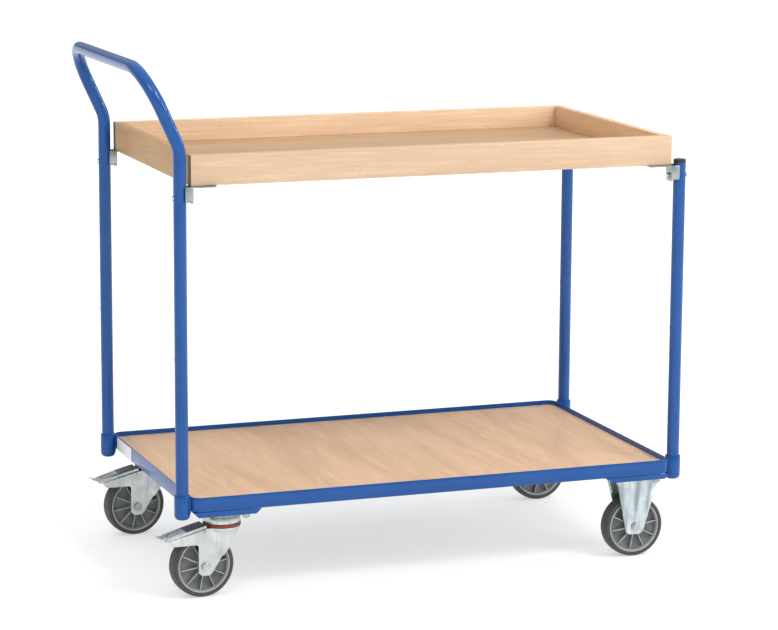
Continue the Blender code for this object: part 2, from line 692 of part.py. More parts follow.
def caster_meshes():
    return {
        "tyre": tyre_mesh(),
        "rim": rim_mesh(),
        "axle": axle_mesh(),
        "fixed_fork": fixed_fork_mesh(),
        "head": swivel_head_mesh(),
        "kingpin": kingpin_mesh(),
        "seal": seal_mesh(),
        "fork": swivel_fork_mesh(),
        "pedal": pedal_mesh(),
        "shoe": shoe_mesh(),
        "pin": pedal_pin_mesh(),
    }


def build_wheel(place, materials, meshes, corner, parent, x):
    """Rim and tyre on an empty that stands on the axle, and the axle bolt beside it."""
    hub = place.empty(f"wheel_axis_{corner}", parent, (x, 0.0, WHEEL_RADIUS))
    lie_down = (math.pi / 2, 0.0, 0.0)
    place(f"rim_{corner}", meshes["rim"], materials["grey_plastic"], hub, rotation=lie_down)
    place(f"tyre_{corner}", meshes["tyre"], materials["tyre_rubber"], hub, rotation=lie_down)
    place(f"axle_bolt_{corner}", meshes["axle"], materials["zinc"], parent, (x, 0.0, WHEEL_RADIUS))


def build_fixed_caster(place, materials, meshes, side, base):
    corner = f"{side}_right"
    mount = place.empty(f"fixed_caster_{side}", base, (FIXED_X, SIDES[side] * CASTER_Y, 0.0))
    place(f"fixed_fork_{corner}", meshes["fixed_fork"], materials["zinc"], mount)
    build_wheel(place, materials, meshes, corner, mount, 0.0)


def build_swivel_caster(place, materials, meshes, side, base):
    corner = f"{side}_left"
    zinc = materials["zinc"]
    spot = (-SWIVEL_X, SIDES[side] * CASTER_Y, 0.0)
    place(f"swivel_head_{corner}", meshes["head"], zinc, base, spot)
    place(f"kingpin_{corner}", meshes["kingpin"], zinc, base, spot)
    swivel = place.empty(f"swivel_axis_{corner}", base, spot, SWIVEL_HEADING)
    place(f"swivel_seal_{corner}", meshes["seal"], materials["red_seal"], swivel)
    place(f"swivel_fork_{corner}", meshes["fork"], zinc, swivel)
    place(f"pedal_pin_{corner}", meshes["pin"], zinc, swivel)
    pedal = place.empty(f"pedal_axis_{corner}", swivel, (-PEDAL_PIN_BACK, 0.0, PEDAL_PIN_Z))
    place(f"brake_pedal_{corner}", meshes["pedal"], materials["dark_steel"], pedal)
    place(f"brake_shoe_{corner}", meshes["shoe"], materials["black_plastic"], pedal)
    build_wheel(place, materials, meshes, corner, swivel, -TRAIL)


# ---------------------------------------------------------------- placing

class Placer:
    """Puts meshes and empties into the trolley's collection."""

    def __init__(self, collection):
        self.collection = collection

    def __call__(self, name, mesh, material, parent, location=(0.0, 0.0, 0.0), rotation=0.0):
        if not mesh.materials:
            mesh.materials.append(material)
        mesh.shade_smooth()
        mesh.set_sharp_from_angle(angle=math.radians(30))
        obj = bpy.data.objects.new(name, mesh)
        self.set_place(obj, parent, location, rotation)
        return obj

    def empty(self, name, parent, location=(0.0, 0.0, 0.0), rotation=0.0):
        obj = bpy.data.objects.new(name, None)
        self.set_place(obj, parent, location, rotation)
        return obj

    def set_place(self, obj, parent, location, rotation):
        """A single rotation is about Z; a triple is about X, Y and Z."""
        self.collection.objects.link(obj)
        obj.parent = parent
        obj.location = location
        obj.rotation_euler = rotation if isinstance(rotation, tuple) else (0.0, 0.0, rotation)


def main():
    clear_scene()
    place = Placer(make_collection("table_trolley"))
    materials = make_materials()
    base = place.empty("deck_middle", None, (DECK_X, 0.0, 0.0))
    build_deck(place, materials, base)
    build_tubes(place, materials, base)
    build_tray(place, materials, base)
    meshes = caster_meshes()
    for side in SIDES:
        build_fixed_caster(place, materials, meshes, side, base)
        build_swivel_caster(place, materials, meshes, side, base)


main()
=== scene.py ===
"""Looks of the table trolley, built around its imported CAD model.

Metres, +Z up, +X along the deck away from the push handle, -Y the front long side.
"""
import math

import bmesh
import bpy
from mathutils import Matrix, Vector


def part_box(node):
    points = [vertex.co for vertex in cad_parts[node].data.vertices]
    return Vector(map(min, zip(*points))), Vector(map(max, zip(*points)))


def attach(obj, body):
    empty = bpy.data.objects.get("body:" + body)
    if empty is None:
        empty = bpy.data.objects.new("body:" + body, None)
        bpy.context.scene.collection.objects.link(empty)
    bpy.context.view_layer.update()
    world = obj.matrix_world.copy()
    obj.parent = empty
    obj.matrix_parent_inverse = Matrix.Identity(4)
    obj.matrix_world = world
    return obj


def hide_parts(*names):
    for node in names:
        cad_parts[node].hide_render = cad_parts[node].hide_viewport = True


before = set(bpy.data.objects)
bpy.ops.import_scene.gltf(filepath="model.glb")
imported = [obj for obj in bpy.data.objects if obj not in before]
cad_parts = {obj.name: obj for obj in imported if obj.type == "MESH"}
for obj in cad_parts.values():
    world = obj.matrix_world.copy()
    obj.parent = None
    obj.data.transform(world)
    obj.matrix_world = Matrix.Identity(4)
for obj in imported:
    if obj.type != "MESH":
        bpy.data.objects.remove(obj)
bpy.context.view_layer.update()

GAP = 0.0003            # clearance between touching or nested pieces
CUT = 0.02              # how far a cutter reaches past the face it cuts
SHARP = math.radians(40)  # edges of plain shapes above this angle are rounded
ARC_STEPS = 8           # segments of a rounded corner in an outline
BEVEL_STEPS = 3         # segments of a rounded edge on a plain shape
HOLE_SIDES = 24
ON_AXIS = 0.0000004     # radius of a turned point on the axis, below the welding distance
PRESS_VOXEL = 0.0009    # grid of the remesh that softens pressed sheet metal
PRESS_PASSES = 10

# Angle-iron frame and deck board
RAIL_WALL = 0.003
RAIL_LEG = 0.030
RAIL_CORNER = 0.020
RAIL_INNER_CORNER = 0.0006
BOARD_CORNER = 0.017
FRAME_CORNER_STEPS = 10
GUSSET_TAPER = 0.010
GUSSET_ROUND = 0.004

# Upright tubes, handle bends and sockets
TUBE_RADIUS = 0.0125
TUBE_WALL = 0.0015
TUBE_SKIN = 0.0001      # the paint stays this far inside the tube's stated size
TUBE_SIDES = 48
HANDLE_KNEE_Z = 0.870
HANDLE_LEAN = math.radians(24.5)
HANDLE_RISE = 0.163
KNEE_RADIUS = 0.070
CORNER_RADIUS = 0.085
SHELF_HOLE_Z = 0.4715
SHELF_HOLE_RADIUS = 0.0030
SOCKET_RADIUS = 0.0153
SOCKET_BORE = 0.0131
SOCKET_BOTTOM = 0.160
SOCKET_FLOOR = 0.170
SOCKET_TOP = 0.208
SOCKET_LINK_LOW = (0.004, -0.010, 0.172)
SOCKET_LINK_HALF_WIDTH = 0.010
SOCKET_LINK_TOP = 0.203

# Tray brackets and their bolts
BRACKET_WALL = 0.0022
BRACKET_HALF_WIDTH = 0.0150
BRACKET_BACK = 0.0068
BRACKET_WEB = 0.0228
BRACKET_END = 0.0695
BRACKET_BOTTOM = 0.7675
BRACKET_BEND = 0.009
SCREW_BACK = 0.012      # from the flange's end to its wood screw
SCREW_HOLE_RADIUS = 0.0026
SCREW_SLOT_HALF_LENGTH = 0.0024
SCREW_SLOT_HALF_WIDTH = 0.0004
SCREW_SLOT_DEPTH = 0.0015
BOLT_Z = 0.7785
BOLT_RADIUS = 0.0030
BOLT_HEAD_RADIUS = 0.0048
BOLT_HEAD_HEIGHT = 0.0022
NUT_RADIUS = 0.0056
NUT_HEIGHT = 0.0045
BOLT_PROUD = 0.0015
FLAT_NUT_HEIGHT = 0.0022
FLAT_BOLT_PROUD = 0.0003
BOARD_EDGE = 0.0012

# Casters
WHEEL_RADIUS = 0.0625
TYRE_HALF_WIDTH = 0.016
RIM_RADIUS = 0.0534
HUB_HALF_WIDTH = 0.0165
RIB_COUNT = 10
RIB_HALF_WIDTH = 0.0009
RIB_OUTLINE = [(0.0120, -0.0158), (0.0480, -0.0128), (0.0480, 0.0128), (0.0120, 0.0158)]
RIB_TURN = math.radians(9)
AXLE_RADIUS = 0.005
AXLE_HEAD_RADIUS = 0.0095
AXLE_HEAD_HEIGHT = 0.006
AXLE_HEXAGON_RADIUS = 0.0082
AXLE_WASHER = 0.0013
FORK_INNER = 0.0195
FORK_WALL = 0.0025
PLATE_LENGTH = 0.105
PLATE_WIDTH = 0.085
PLATE_BOTTOM = 0.163
PLATE_TOP = 0.1657
PLATE_BOLTS = [(x, y) for x in (-0.040, 0.040) for y in (-0.030, 0.030)]
FIXED_TOP_HALF = 0.046
FIXED_FOOT_HALF = 0.019
FIXED_FOOT_Z = 0.0465
FIXED_SPLAY = 0.10
ROLL_WIDTH = 0.008
ROLL_DEPTH = 0.0026
TRAIL = 0.043
CROWN_TOP = 0.137
CROWN_WALL = 0.0028
CROWN_RADIUS = 0.036
CROWN_END = 0.037
FLARE_FOOT_RADIUS = 0.0219
FLARE_FOOT_Z = 0.080
CREASE_DEPTH = 0.0017
SEAL_RADIUS = 0.037
SEAL_INNER = 0.020
RACE_BOTTOM = 0.1433
RACE_RADIUS = 0.0365
KINGPIN_BORE = 0.0065
PEDAL_PIN_BACK = 0.044
PEDAL_PIN_Z = 0.130
PEDAL_PIN_RADIUS = 0.0025
PEDAL_HALF_WIDTH = 0.0189
PEDAL_WALL = 0.0024
PEDAL_TONGUE_HALF = 0.0125
PEDAL_BODY_END = 0.1185
PEDAL_TIP = 0.1368
PEDAL_CREST = [(-0.0395, 0.1425), (-0.0600, 0.1382), (-0.0800, 0.1334), (-0.1000, 0.1280),
               (-PEDAL_BODY_END, 0.1230)]
PEDAL_GREY_END = 0.084   # the dark coating stops here; the groove lies beyond it
RIVET_PROUD = 0.0008

# Studio
FLOOR_HALF_SIZE = 45.0
# the floor glows less near the trolley than far off: painted shade around the trolley
FLOOR_GLOW_NEAR = 0.51
FLOOR_GLOW_FAR = 0.68
FRONT_LEFT_POST = (-0.5, -0.3, 0.9)
CAMERA_PLACE = (-1.97276, -5.47762, 1.56825)
CAMERA_TILT = math.radians(79.4031)
CAMERA_ROLL = math.radians(-0.3073)
CAMERA_HEADING = math.radians(-20.0835)
CAMERA_LENS = 135.21
FILM_WIDTH = 36.0

ENDS = {"left": -1, "right": 1}
SIDES = {"front": -1, "back": 1}


# ---- mesh helpers

def at(x, y, z=0.0):
    return Matrix.Translation((x, y, z))


def scratch_object(mesh):
    """A temporary object that carries modifiers until bake() turns it into a mesh."""
    obj = bpy.data.objects.new("scratch", mesh)
    bpy.context.scene.collection.objects.link(obj)
    return obj


def bake(obj):
    """The object's evaluated mesh, welded; the temporary object is removed."""
    bpy.context.view_layer.update()
    depsgraph = bpy.context.evaluated_depsgraph_get()
    mesh = bpy.data.meshes.new_from_object(obj.evaluated_get(depsgraph))
    shape = bmesh.new()
    shape.from_mesh(mesh)
    bmesh.ops.remove_doubles(shape, verts=shape.verts, dist=0.000005)
    shape.to_mesh(mesh)
    shape.free()
    bpy.data.objects.remove(obj, do_unlink=True)
    return mesh


def as_mesh(shape):
    """A mesh from a bmesh whose faces are welded and turned outwards."""
    bmesh.ops.remove_doubles(shape, verts=shape.verts, dist=0.000001)
    bmesh.ops.recalc_face_normals(shape, faces=shape.faces)
    mesh = bpy.data.meshes.new("shape")
    shape.to_mesh(mesh)
    shape.free()
    return mesh


def boolean(mesh, tools, operation):
    target = scratch_object(mesh)
    helpers = [scratch_object(tool) for tool in tools]
    for helper in helpers:
        modifier = target.modifiers.new(operation.lower(), "BOOLEAN")
        modifier.operation = operation
        modifier.solver = "EXACT"
        modifier.object = helper
    result = bake(target)
    for helper in helpers:
        bpy.data.objects.remove(helper, do_unlink=True)
    return result


def cut(mesh, *tools):
    return boolean(mesh, tools, "DIFFERENCE")


def join(mesh, *tools):
    return boolean(mesh, tools, "UNION")


def together(*meshes):
    """Separate closed shapes kept in one mesh, such as a row of ribs."""
    shape = bmesh.new()
    for mesh in meshes:
        shape.from_mesh(mesh)
    made = bpy.data.meshes.new("together")
    shape.to_mesh(made)
    shape.free()
    return made


def bevelled(mesh, width, angle=35.0):
    """The mesh with every edge sharper than the angle rounded off."""
    obj = scratch_object(mesh)
    modifier = obj.modifiers.new("bevel", "BEVEL")
    modifier.width = width
    modifier.segments = 2
    modifier.limit_method = "ANGLE"
    modifier.angle_limit = math.radians(angle)
    modifier.use_clamp_overlap = True
    return bake(obj)


def pressed(mesh):
    """Sheet metal with soft pressed edges: remeshed and relaxed."""
    obj = scratch_object(mesh)
    remesh = obj.modifiers.new("remesh", "REMESH")
    remesh.mode = "VOXEL"
    remesh.voxel_size = PRESS_VOXEL
    relax = obj.modifiers.new("relax", "SMOOTH")
    relax.factor = 0.5
    relax.iterations = PRESS_PASSES
    return bake(obj)


def rounded(shape, edges, width, segments):
    bmesh.ops.bevel(shape, geom=edges, offset=width, segments=segments, profile=0.5,
                    affect="EDGES")


def sharp_edges(shape):
    return [edge for edge in shape.edges if edge.calc_face_angle(0.0) > SHARP]


def box(low, high, corner=0.0, edge=0.0):
    """A box between two corners: upright edges rounded by corner, then all edges by edge."""
    shape = bmesh.new()
    bmesh.ops.create_cube(shape, size=1.0)
    size = Vector(high) - Vector(low)
    middle = (Vector(high) + Vector(low)) / 2
    shape.transform(Matrix.Translation(middle) @ Matrix.Diagonal((*size, 1.0)))
    if corner:
        upright = [e for e in shape.edges if abs(e.verts[0].co.z - e.verts[1].co.z) > size.z / 2]
        rounded(shape, upright, corner, ARC_STEPS)
    if edge:
        rounded(shape, sharp_edges(shape), edge, BEVEL_STEPS)
    return as_mesh(shape)


def rod(radius, start, end, sides=48, edge=0.0):
    """A solid cylinder, or a hexagon with six sides, with its end edges rounded."""
    start = Vector(start)
    run = Vector(end) - start
    aim = run.to_track_quat("Z", "Y").to_matrix().to_4x4()
    shape = bmesh.new()
    bmesh.ops.create_cone(shape, cap_ends=True, segments=sides, radius1=radius, radius2=radius,
                          depth=run.length, matrix=Matrix.Translation(start + run / 2) @ aim)
    if edge:
        rounded(shape, sharp_edges(shape), edge, BEVEL_STEPS)
    return as_mesh(shape)


def loft(rings, cyclic=False):
    """A skin over a row of closed rings, with its ends closed unless it is cyclic."""
    shape = bmesh.new()
    rows = [[shape.verts.new(point) for point in ring] for ring in rings]
    pairs = list(zip(rows, rows[1:]))
    if cyclic:
        pairs.append((rows[-1], rows[0]))
    for row, following in pairs:
        for index in range(len(row)):
            after = (index + 1) % len(row)
            shape.faces.new((row[index], row[after], following[after], following[index]))
    if not cyclic:
        shape.faces.new(rows[0])
        shape.faces.new(rows[-1])
    return as_mesh(shape)


def turned(profile, closed=False, steps=96):
    """A profile of (radius, height) points turned about Z; as_mesh() welds those on the axis."""
    rings = []
    for radius, height in profile:
        radius = max(radius, ON_AXIS)
        rings.append([(radius * math.cos(2 * math.pi * step / steps),
                       radius * math.sin(2 * math.pi * step / steps), height)
                      for step in range(steps)])
    return loft(rings, closed)


def rounded_outline(corners):
    """Points round an outline; each corner is (x, z, radius), and its arc is computed."""
    points = []
    for index, (x, z, radius) in enumerate(corners):
        here = Vector((x, z))
        before = Vector(corners[index - 1][:2])
        after = Vector(corners[(index + 1) % len(corners)][:2])
        if not radius:
            points.append(here)
            continue
        back = (before - here).normalized()
        ahead = (after - here).normalized()
        half = back.angle(ahead) / 2
        middle = here + (back + ahead).normalized() * (radius / math.sin(half))
        first = here + back * (radius / math.tan(half)) - middle
        last = here + ahead * (radius / math.tan(half)) - middle
        sweep = first.angle_signed(last)
        for step in range(ARC_STEPS + 1):
            points.append(middle + Matrix.Rotation(-sweep * step / ARC_STEPS, 2) @ first)
    return points


def side_plate(corners, half_width):
    """An outline in the XZ plane, extruded to half_width on both sides of Y = 0."""
    outline = rounded_outline(corners)
    return loft([[(x, y, z) for x, z in outline] for y in (-half_width, half_width)])


def splayed(mesh, slope, level):
    """Lean the mesh's two sides outwards: they keep their Y at the given height."""
    for vertex in mesh.vertices:
        side = 1 if vertex.co.y > 0 else -1
        vertex.co.y += side * slope * (vertex.co.z - level)
    return mesh


def rounded_rectangle(half_x, half_y, radius, z):
    """A closed ring of points at height z; the same number whatever the radius."""
    points = []
    for quarter, (sx, sy) in enumerate(((1, 1), (-1, 1), (-1, -1), (1, -1))):
        for step in range(FRAME_CORNER_STEPS + 1):
            angle = math.radians(90) * (quarter + step / FRAME_CORNER_STEPS)
            points.append((sx * (half_x - radius) + radius * math.cos(angle),
                           sy * (half_y - radius) + radius * math.sin(angle), z))
    return points


def tube(path):
    """A hollow tube, open at both ends, along a path that bends without twisting."""
    tangents = []
    for index in range(len(path)):
        before = path[max(index - 1, 0)]
        after = path[min(index + 1, len(path) - 1)]
        tangents.append((after - before).normalized())
    across = Vector((0.0, 1.0, 0.0))
    frames = []
    for index, tangent in enumerate(tangents):
        if index:
            across = tangents[index - 1].rotation_difference(tangent) @ across
        across = (across - tangent * across.dot(tangent)).normalized()
        frames.append((across.copy(), tangent.cross(across)))
    rings = {}
    outer = TUBE_RADIUS - TUBE_SKIN
    inner = TUBE_RADIUS - TUBE_WALL
    for radius in (outer, inner):
        rings[radius] = [[point + (u * math.cos(2 * math.pi * step / TUBE_SIDES)
                                   + v * math.sin(2 * math.pi * step / TUBE_SIDES)) * radius
                          for step in range(TUBE_SIDES)]
                         for point, (u, v) in zip(path, frames)]
    return loft(rings[outer] + rings[inner][::-1], cyclic=True)


def painted(mesh, chooser):
    """Give each face the material index that chooser(centre, normal) returns."""
    for polygon in mesh.polygons:
        polygon.material_index = chooser(polygon.center, polygon.normal)
    return mesh


def piece(name, mesh, materials, node=None, place=None, body="chassis", sharp=32.0):
    """A finished piece at its place in the frame; it stands for the CAD node, if one is given."""
    made = mesh.copy()
    made.name = name
    if place is not None:
        made.transform(place)
    for material in materials if isinstance(materials, (list, tuple)) else [materials]:
        made.materials.append(material)
    made.shade_smooth()
    made.set_sharp_from_angle(angle=math.radians(sharp))
    obj = bpy.data.objects.new(name, made)
    bpy.context.scene.collection.objects.link(obj)
    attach(obj, body)
    if node:
        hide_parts(node)


def middle_of(node):
    low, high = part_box(node)
    return (Vector(low) + Vector(high)) / 2


def extents(node):
    """A node's half length, half width, foot and top."""
    low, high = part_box(node)
    return (high[0] - low[0]) / 2, (high[1] - low[1]) / 2, low[2], high[2]


# ---- materials

class Finish:
    """A Principled material whose nodes are added one call at a time."""

    def __init__(self, name, **constants):
        self.material = bpy.data.materials.new(name)
        self.material.use_nodes = True
        self.tree = self.material.node_tree
        self.shader = self.tree.nodes["Principled BSDF"]
        self.place = self.add("ShaderNodeTexCoord").outputs["Object"]
        for key, value in constants.items():
            self.shader.inputs[key.replace("_", " ")].default_value = value

    def add(self, kind, inputs=None, **settings):
        node = self.tree.nodes.new(kind)
        for key, value in settings.items():
            setattr(node, key, value)
        for key, value in (inputs or {}).items():
            if isinstance(value, bpy.types.NodeSocket):
                self.tree.links.new(value, node.inputs[key])
            else:
                node.inputs[key].default_value = value
        return node

    def stretched(self, scale):
        mapped = self.add("ShaderNodeMapping", {"Vector": self.place, "Scale": scale})
        return mapped.outputs["Vector"]

    def noise(self, scale, detail=3.0, where=None, rough=0.5, distortion=0.0):
        made = self.add("ShaderNodeTexNoise", {"Vector": where or self.place, "Scale": scale,
                                               "Detail": detail, "Roughness": rough,
                                               "Distortion": distortion})
        return made.outputs["Fac"]

    def ranged(self, value, low, high, from_low=0.3, from_high=0.7):
        made = self.add("ShaderNodeMapRange", {"Value": value, "From Min": from_low,
                                               "From Max": from_high, "To Min": low,
                                               "To Max": high})
        return made.outputs["Result"]

    def blend(self, amount, first, second):
        made = self.add("ShaderNodeMix", data_type="RGBA")
        sockets = {name: [s for s in made.inputs if s.name == name and s.type == kind][0]
                   for name, kind in (("Factor", "VALUE"), ("A", "RGBA"), ("B", "RGBA"))}
        for name, value in (("Factor", amount), ("A", first), ("B", second)):
            if isinstance(value, bpy.types.NodeSocket):
                self.tree.links.new(value, sockets[name])
            else:
                sockets[name].default_value = value if name == "Factor" else (*value, 1.0)
        return [s for s in made.outputs if s.type == "RGBA"][0]

    def colour(self, socket):
        self.tree.links.new(socket, self.shader.inputs["Base Color"])

    def roughness(self, socket):
        self.tree.links.new(socket, self.shader.inputs["Roughness"])

    def bump(self, height, strength, distance):
        made = self.add("ShaderNodeBump", {"Height": height, "Strength": strength,
                                           "Distance": distance})
        self.tree.links.new(made.outputs["Normal"], self.shader.inputs["Normal"])


def tinted(colour, factor):
    """The colour made darker or paler by a factor, never past white."""
    return tuple(min(channel * factor, 1.0) for channel in colour)


def powder_coat():
    """Glossy blue powder coat with a faint orange peel."""
    f = Finish("blue_powder_coat", Coat_Weight=0.45, Coat_Roughness=0.12, IOR=1.45,
               Specular_IOR_Level=0.14)
    cloud = f.ranged(f.noise(14.0, 4.0), 0.0, 1.0)
    f.colour(f.blend(cloud, (0.0065, 0.066, 0.255), (0.0095, 0.078, 0.287)))
    f.roughness(f.ranged(f.noise(90.0, 2.0), 0.17, 0.25))
    f.bump(f.noise(420.0, 1.0), 0.015, 0.0003)
    return f.material


def beech(name, along, pale, dark, coat, streak=150.0, band=0.20):
    """Beech: grain bands, fine fibres, pale streaks and short dark flecks along one axis.

    streak is how finely the pale streaks lie across the grain; band is half the noise range over
    which the two base colours blend.
    """
    f = Finish(name, Coat_Weight=coat, Coat_Roughness=0.22, IOR=1.42)

    def grain(length, width):
        scale = [width, width, width]
        scale[along] = length
        return f.stretched(tuple(scale))

    bands = f.noise(1.0, 3.0, grain(1.8, 15.0), 0.55, 0.7)
    fibres = f.noise(1.0, 4.0, grain(14.0, 330.0), 0.6)
    streaks = f.noise(1.0, 2.0, grain(8.0, streak), 0.5)
    flecks = f.noise(1.0, 1.0, grain(75.0, 900.0), 0.5)
    base = f.blend(f.ranged(bands, 0.0, 1.0, 0.5 - band, 0.5 + band), dark, pale)
    base = f.blend(f.ranged(fibres, 0.0, 0.26, 0.45, 0.80), base, tinted(dark, 0.72))
    base = f.blend(f.ranged(streaks, 0.0, 0.55, 0.50, 0.74), base, tinted(pale, 1.14))
    base = f.blend(f.ranged(flecks, 0.0, 0.38, 0.62, 0.74), base, tinted(dark, 0.52))
    f.colour(base)
    f.roughness(f.ranged(fibres, 0.36, 0.50))
    f.bump(fibres, 0.16, 0.0004)
    return f.material


def sawn_ends_and_shade():
    """Sawn ends of the long tray boards: brown, with rays and open pores; the deep brown is end
    grain with painted shade of the tray's corners in it.
    """
    f = Finish("beech_sawn_ends_and_shade", IOR=1.45)
    rings = f.noise(1.0, 3.0, f.stretched((40.0, 260.0, 55.0)), 0.6, 0.8)
    pores = f.noise(1.0, 1.0, f.stretched((1500.0, 1500.0, 1500.0)))
    base = f.blend(f.ranged(rings, 0.0, 1.0), (0.155, 0.082, 0.042), (0.250, 0.140, 0.075))
    f.colour(f.blend(f.ranged(pores, 0.0, 0.6, 0.58, 0.72), base, (0.07, 0.035, 0.018)))
    f.roughness(f.ranged(pores, 0.60, 0.78))
    f.bump(pores, 0.25, 0.0004)
    return f.material


def zinc(name, low, high, rough_low=0.24, rough_high=0.42, streak=0.25):
    """Bright zinc-plated steel: soft clouds, upright drawing streaks and fine rolling marks; a
    large streak amount turns the streaks into painted highlight and shade bands.
    """
    f = Finish(name, Metallic=0.88, IOR=1.5)
    cloud = f.ranged(f.noise(30.0, 3.0, rough=0.5), 0.0, 1.0, 0.34, 0.66)
    base = f.blend(cloud, low, high)
    # with a large streak amount these streaks are painted highlight and shade bands as well as
    # drawing marks
    drawn_streaks_and_sheen = f.ranged(f.noise(1.0, 2.0, f.stretched((75.0, 75.0, 7.0)), 0.5), 0.0, streak,
                     0.40, 0.66)
    f.colour(f.blend(drawn_streaks_and_sheen, base, tinted(low, 0.52)))
    f.roughness(f.ranged(f.noise(70.0, 4.0), rough_low, rough_high))
    f.bump(f.noise(1.0, 3.0, f.stretched((220.0, 220.0, 900.0))), 0.05, 0.0003)
    return f.material


def moulded(name, low, high, grain, rough_low, rough_high, strength=0.12):
    """A moulded plastic or rubber: two close tones and a fine texture."""
    f = Finish(name, IOR=1.47)
    f.colour(f.blend(f.ranged(f.noise(45.0, 4.0), 0.0, 1.0), low, high))
    f.roughness(f.ranged(f.noise(grain / 6, 3.0), rough_low, rough_high))
    f.bump(f.noise(grain, 2.0), strength, 0.0003)
    return f.material


BLUE = powder_coat()
BEECH_FRONT = beech("beech_lengthways", 0, (0.630, 0.450, 0.305), (0.550, 0.374, 0.242), 0.05)
# the back board's beech is paler than the front's: painted light on its inner face, which the
# lamps leave dim
BEECH_BACK_PAINTED_LIGHT = beech("beech_back_painted_light", 0, (0.800, 0.590, 0.400), (0.720, 0.505, 0.325), 0.05)
# the left end board's beech is darker and browner: painted shade on the end that faces away from
# the key light
BEECH_LEFT_PAINTED_SHADE = beech("beech_left_end_painted_shade", 1, (0.530, 0.318, 0.130), (0.445, 0.253, 0.095), 0.0)
# the right end board's beech is paler: painted light on its inner face
BEECH_RIGHT_PAINTED_LIGHT = beech("beech_right_end_painted_light", 1, (0.790, 0.525, 0.310), (0.700, 0.440, 0.245), 0.05)
BEECH_DECK = beech("beech_deck", 1, (0.700, 0.470, 0.290), (0.600, 0.385, 0.228), 0.20,
                   streak=60.0, band=0.13)
# the tray floor's beech is darker: painted shade inside the tray's walls
BEECH_FLOOR_PAINTED_SHADE = beech("beech_tray_floor_painted_shade", 0, (0.490, 0.315, 0.178), (0.415, 0.253, 0.135), 0.06,
                    streak=60.0)
BACKING = moulded("grey_backing_film", (0.40, 0.41, 0.41), (0.44, 0.45, 0.45),
                  500.0, 0.45, 0.60)
# the end faces' deep brown is end grain with painted shade at the tray's corners
END_GRAIN_AND_SHADE = sawn_ends_and_shade()
ZINC = zinc("galvanised_steel", (0.52, 0.56, 0.55), (0.68, 0.71, 0.69))
# the fixed housings' zinc: its bluish tone and strong upright streaks are painted sheen and shade
# bands standing in for reflections
FIXED_ZINC_PAINTED_SHEEN = zinc("zinc_with_painted_blue_sheen", (0.46, 0.54, 0.57), (0.72, 0.77, 0.77), 0.16, 0.30,
                  0.85)
# the brackets' zinc is darker than the rest: painted shade on faces turned from the lamps
BRACKET_ZINC_PAINTED_SHADE = zinc("bracket_zinc_painted_shade", (0.30, 0.33, 0.325), (0.44, 0.475, 0.465))
BOLT_ZINC = zinc("bright_zinc_bolts", (0.48, 0.51, 0.52), (0.70, 0.73, 0.73), 0.16, 0.30)
AXLE_STEEL = zinc("axle_bolt_steel", (0.34, 0.36, 0.36), (0.55, 0.57, 0.57), 0.14, 0.26)
PEDAL_GREY = moulded("pedal_dark_coating", (0.075, 0.078, 0.090), (0.105, 0.108, 0.122),
                     700.0, 0.32, 0.48)
RIM_GREY = moulded("grey_moulded_rim", (0.150, 0.158, 0.163), (0.200, 0.208, 0.214),
                   600.0, 0.38, 0.52)
# paler grey for the rim's raised faces: a painted highlight on one moulding
RIM_EDGE_HIGHLIGHT = moulded("rim_edges_painted_highlight", (0.34, 0.355, 0.36), (0.43, 0.445, 0.45), 600.0, 0.32, 0.46)
TYRE = moulded("tyre_rubber_grey_black", (0.040, 0.039, 0.037), (0.062, 0.060, 0.057),
               900.0, 0.52, 0.68, 0.25)
SEAL_RED = moulded("red_seal_ring", (0.200, 0.026, 0.022), (0.275, 0.040, 0.032),
                   500.0, 0.38, 0.50)
BLACK = moulded("black_plastic_caps", (0.014, 0.014, 0.015), (0.022, 0.022, 0.024),
                700.0, 0.34, 0.46)
LABEL = moulded("blank_label_film", (0.70, 0.71, 0.72), (0.78, 0.79, 0.80),
                300.0, 0.30, 0.42, 0.03)


# ---- deck

def frame_mesh(half_x, half_y, foot, top):
    """A ring of angle iron with round outer corners and nearly square inner ones."""
    # (inset, height) points round the angle iron's section
    section = [(0.0, foot + 0.0016), (0.0, top - 0.0012), (0.00035, top - 0.00035),
               (0.0012, top), (RAIL_WALL - 0.0010, top), (RAIL_WALL - 0.00025, top - 0.0003),
               (RAIL_WALL, top - 0.0010), (RAIL_WALL, foot + RAIL_WALL + 0.002),
               (RAIL_WALL + 0.0006, foot + RAIL_WALL + 0.0006),
               (RAIL_WALL + 0.002, foot + RAIL_WALL), (RAIL_LEG - 0.001, foot + RAIL_WALL),
               (RAIL_LEG, foot + RAIL_WALL - 0.001), (RAIL_LEG, foot + 0.0005),
               (RAIL_LEG - 0.0005, foot), (0.0016, foot), (0.0005, foot + 0.0005)]
    return loft([rounded_rectangle(half_x - inset, half_y - inset,
                                   max(RAIL_CORNER - inset, RAIL_INNER_CORNER), z)
                 for inset, z in section], cyclic=True)


def panel_mesh(half_x, half_y, foot, top):
    """The deck board, with its upper edge worn soft and its underside painted separately."""
    section = [(0.0004, foot), (0.0, foot + 0.0004), (0.0, top - 0.0008), (0.0003, top - 0.0002),
               (0.0010, top)]
    rings = [rounded_rectangle(half_x - inset, half_y - inset, BOARD_CORNER - inset, z)
             for inset, z in section]
    return painted(loft(rings), lambda centre, normal: 1 if normal.z < -0.9 else 0)


def gusset_mesh(half_top, half_y, foot, top):
    """A trapezoid channel, open upwards, that hangs under the long rail."""
    half_base = half_top - GUSSET_TAPER
    solid = side_plate([(-half_top, top, 0.0), (-half_base, foot, GUSSET_ROUND),
                        (half_base, foot, GUSSET_ROUND), (half_top, top, 0.0)], half_y)
    trough = box((-2 * half_top, -half_y + RAIL_WALL, foot + RAIL_WALL),
                 (2 * half_top, half_y - RAIL_WALL, top + CUT))
    return bevelled(cut(solid, trough), 0.0007)


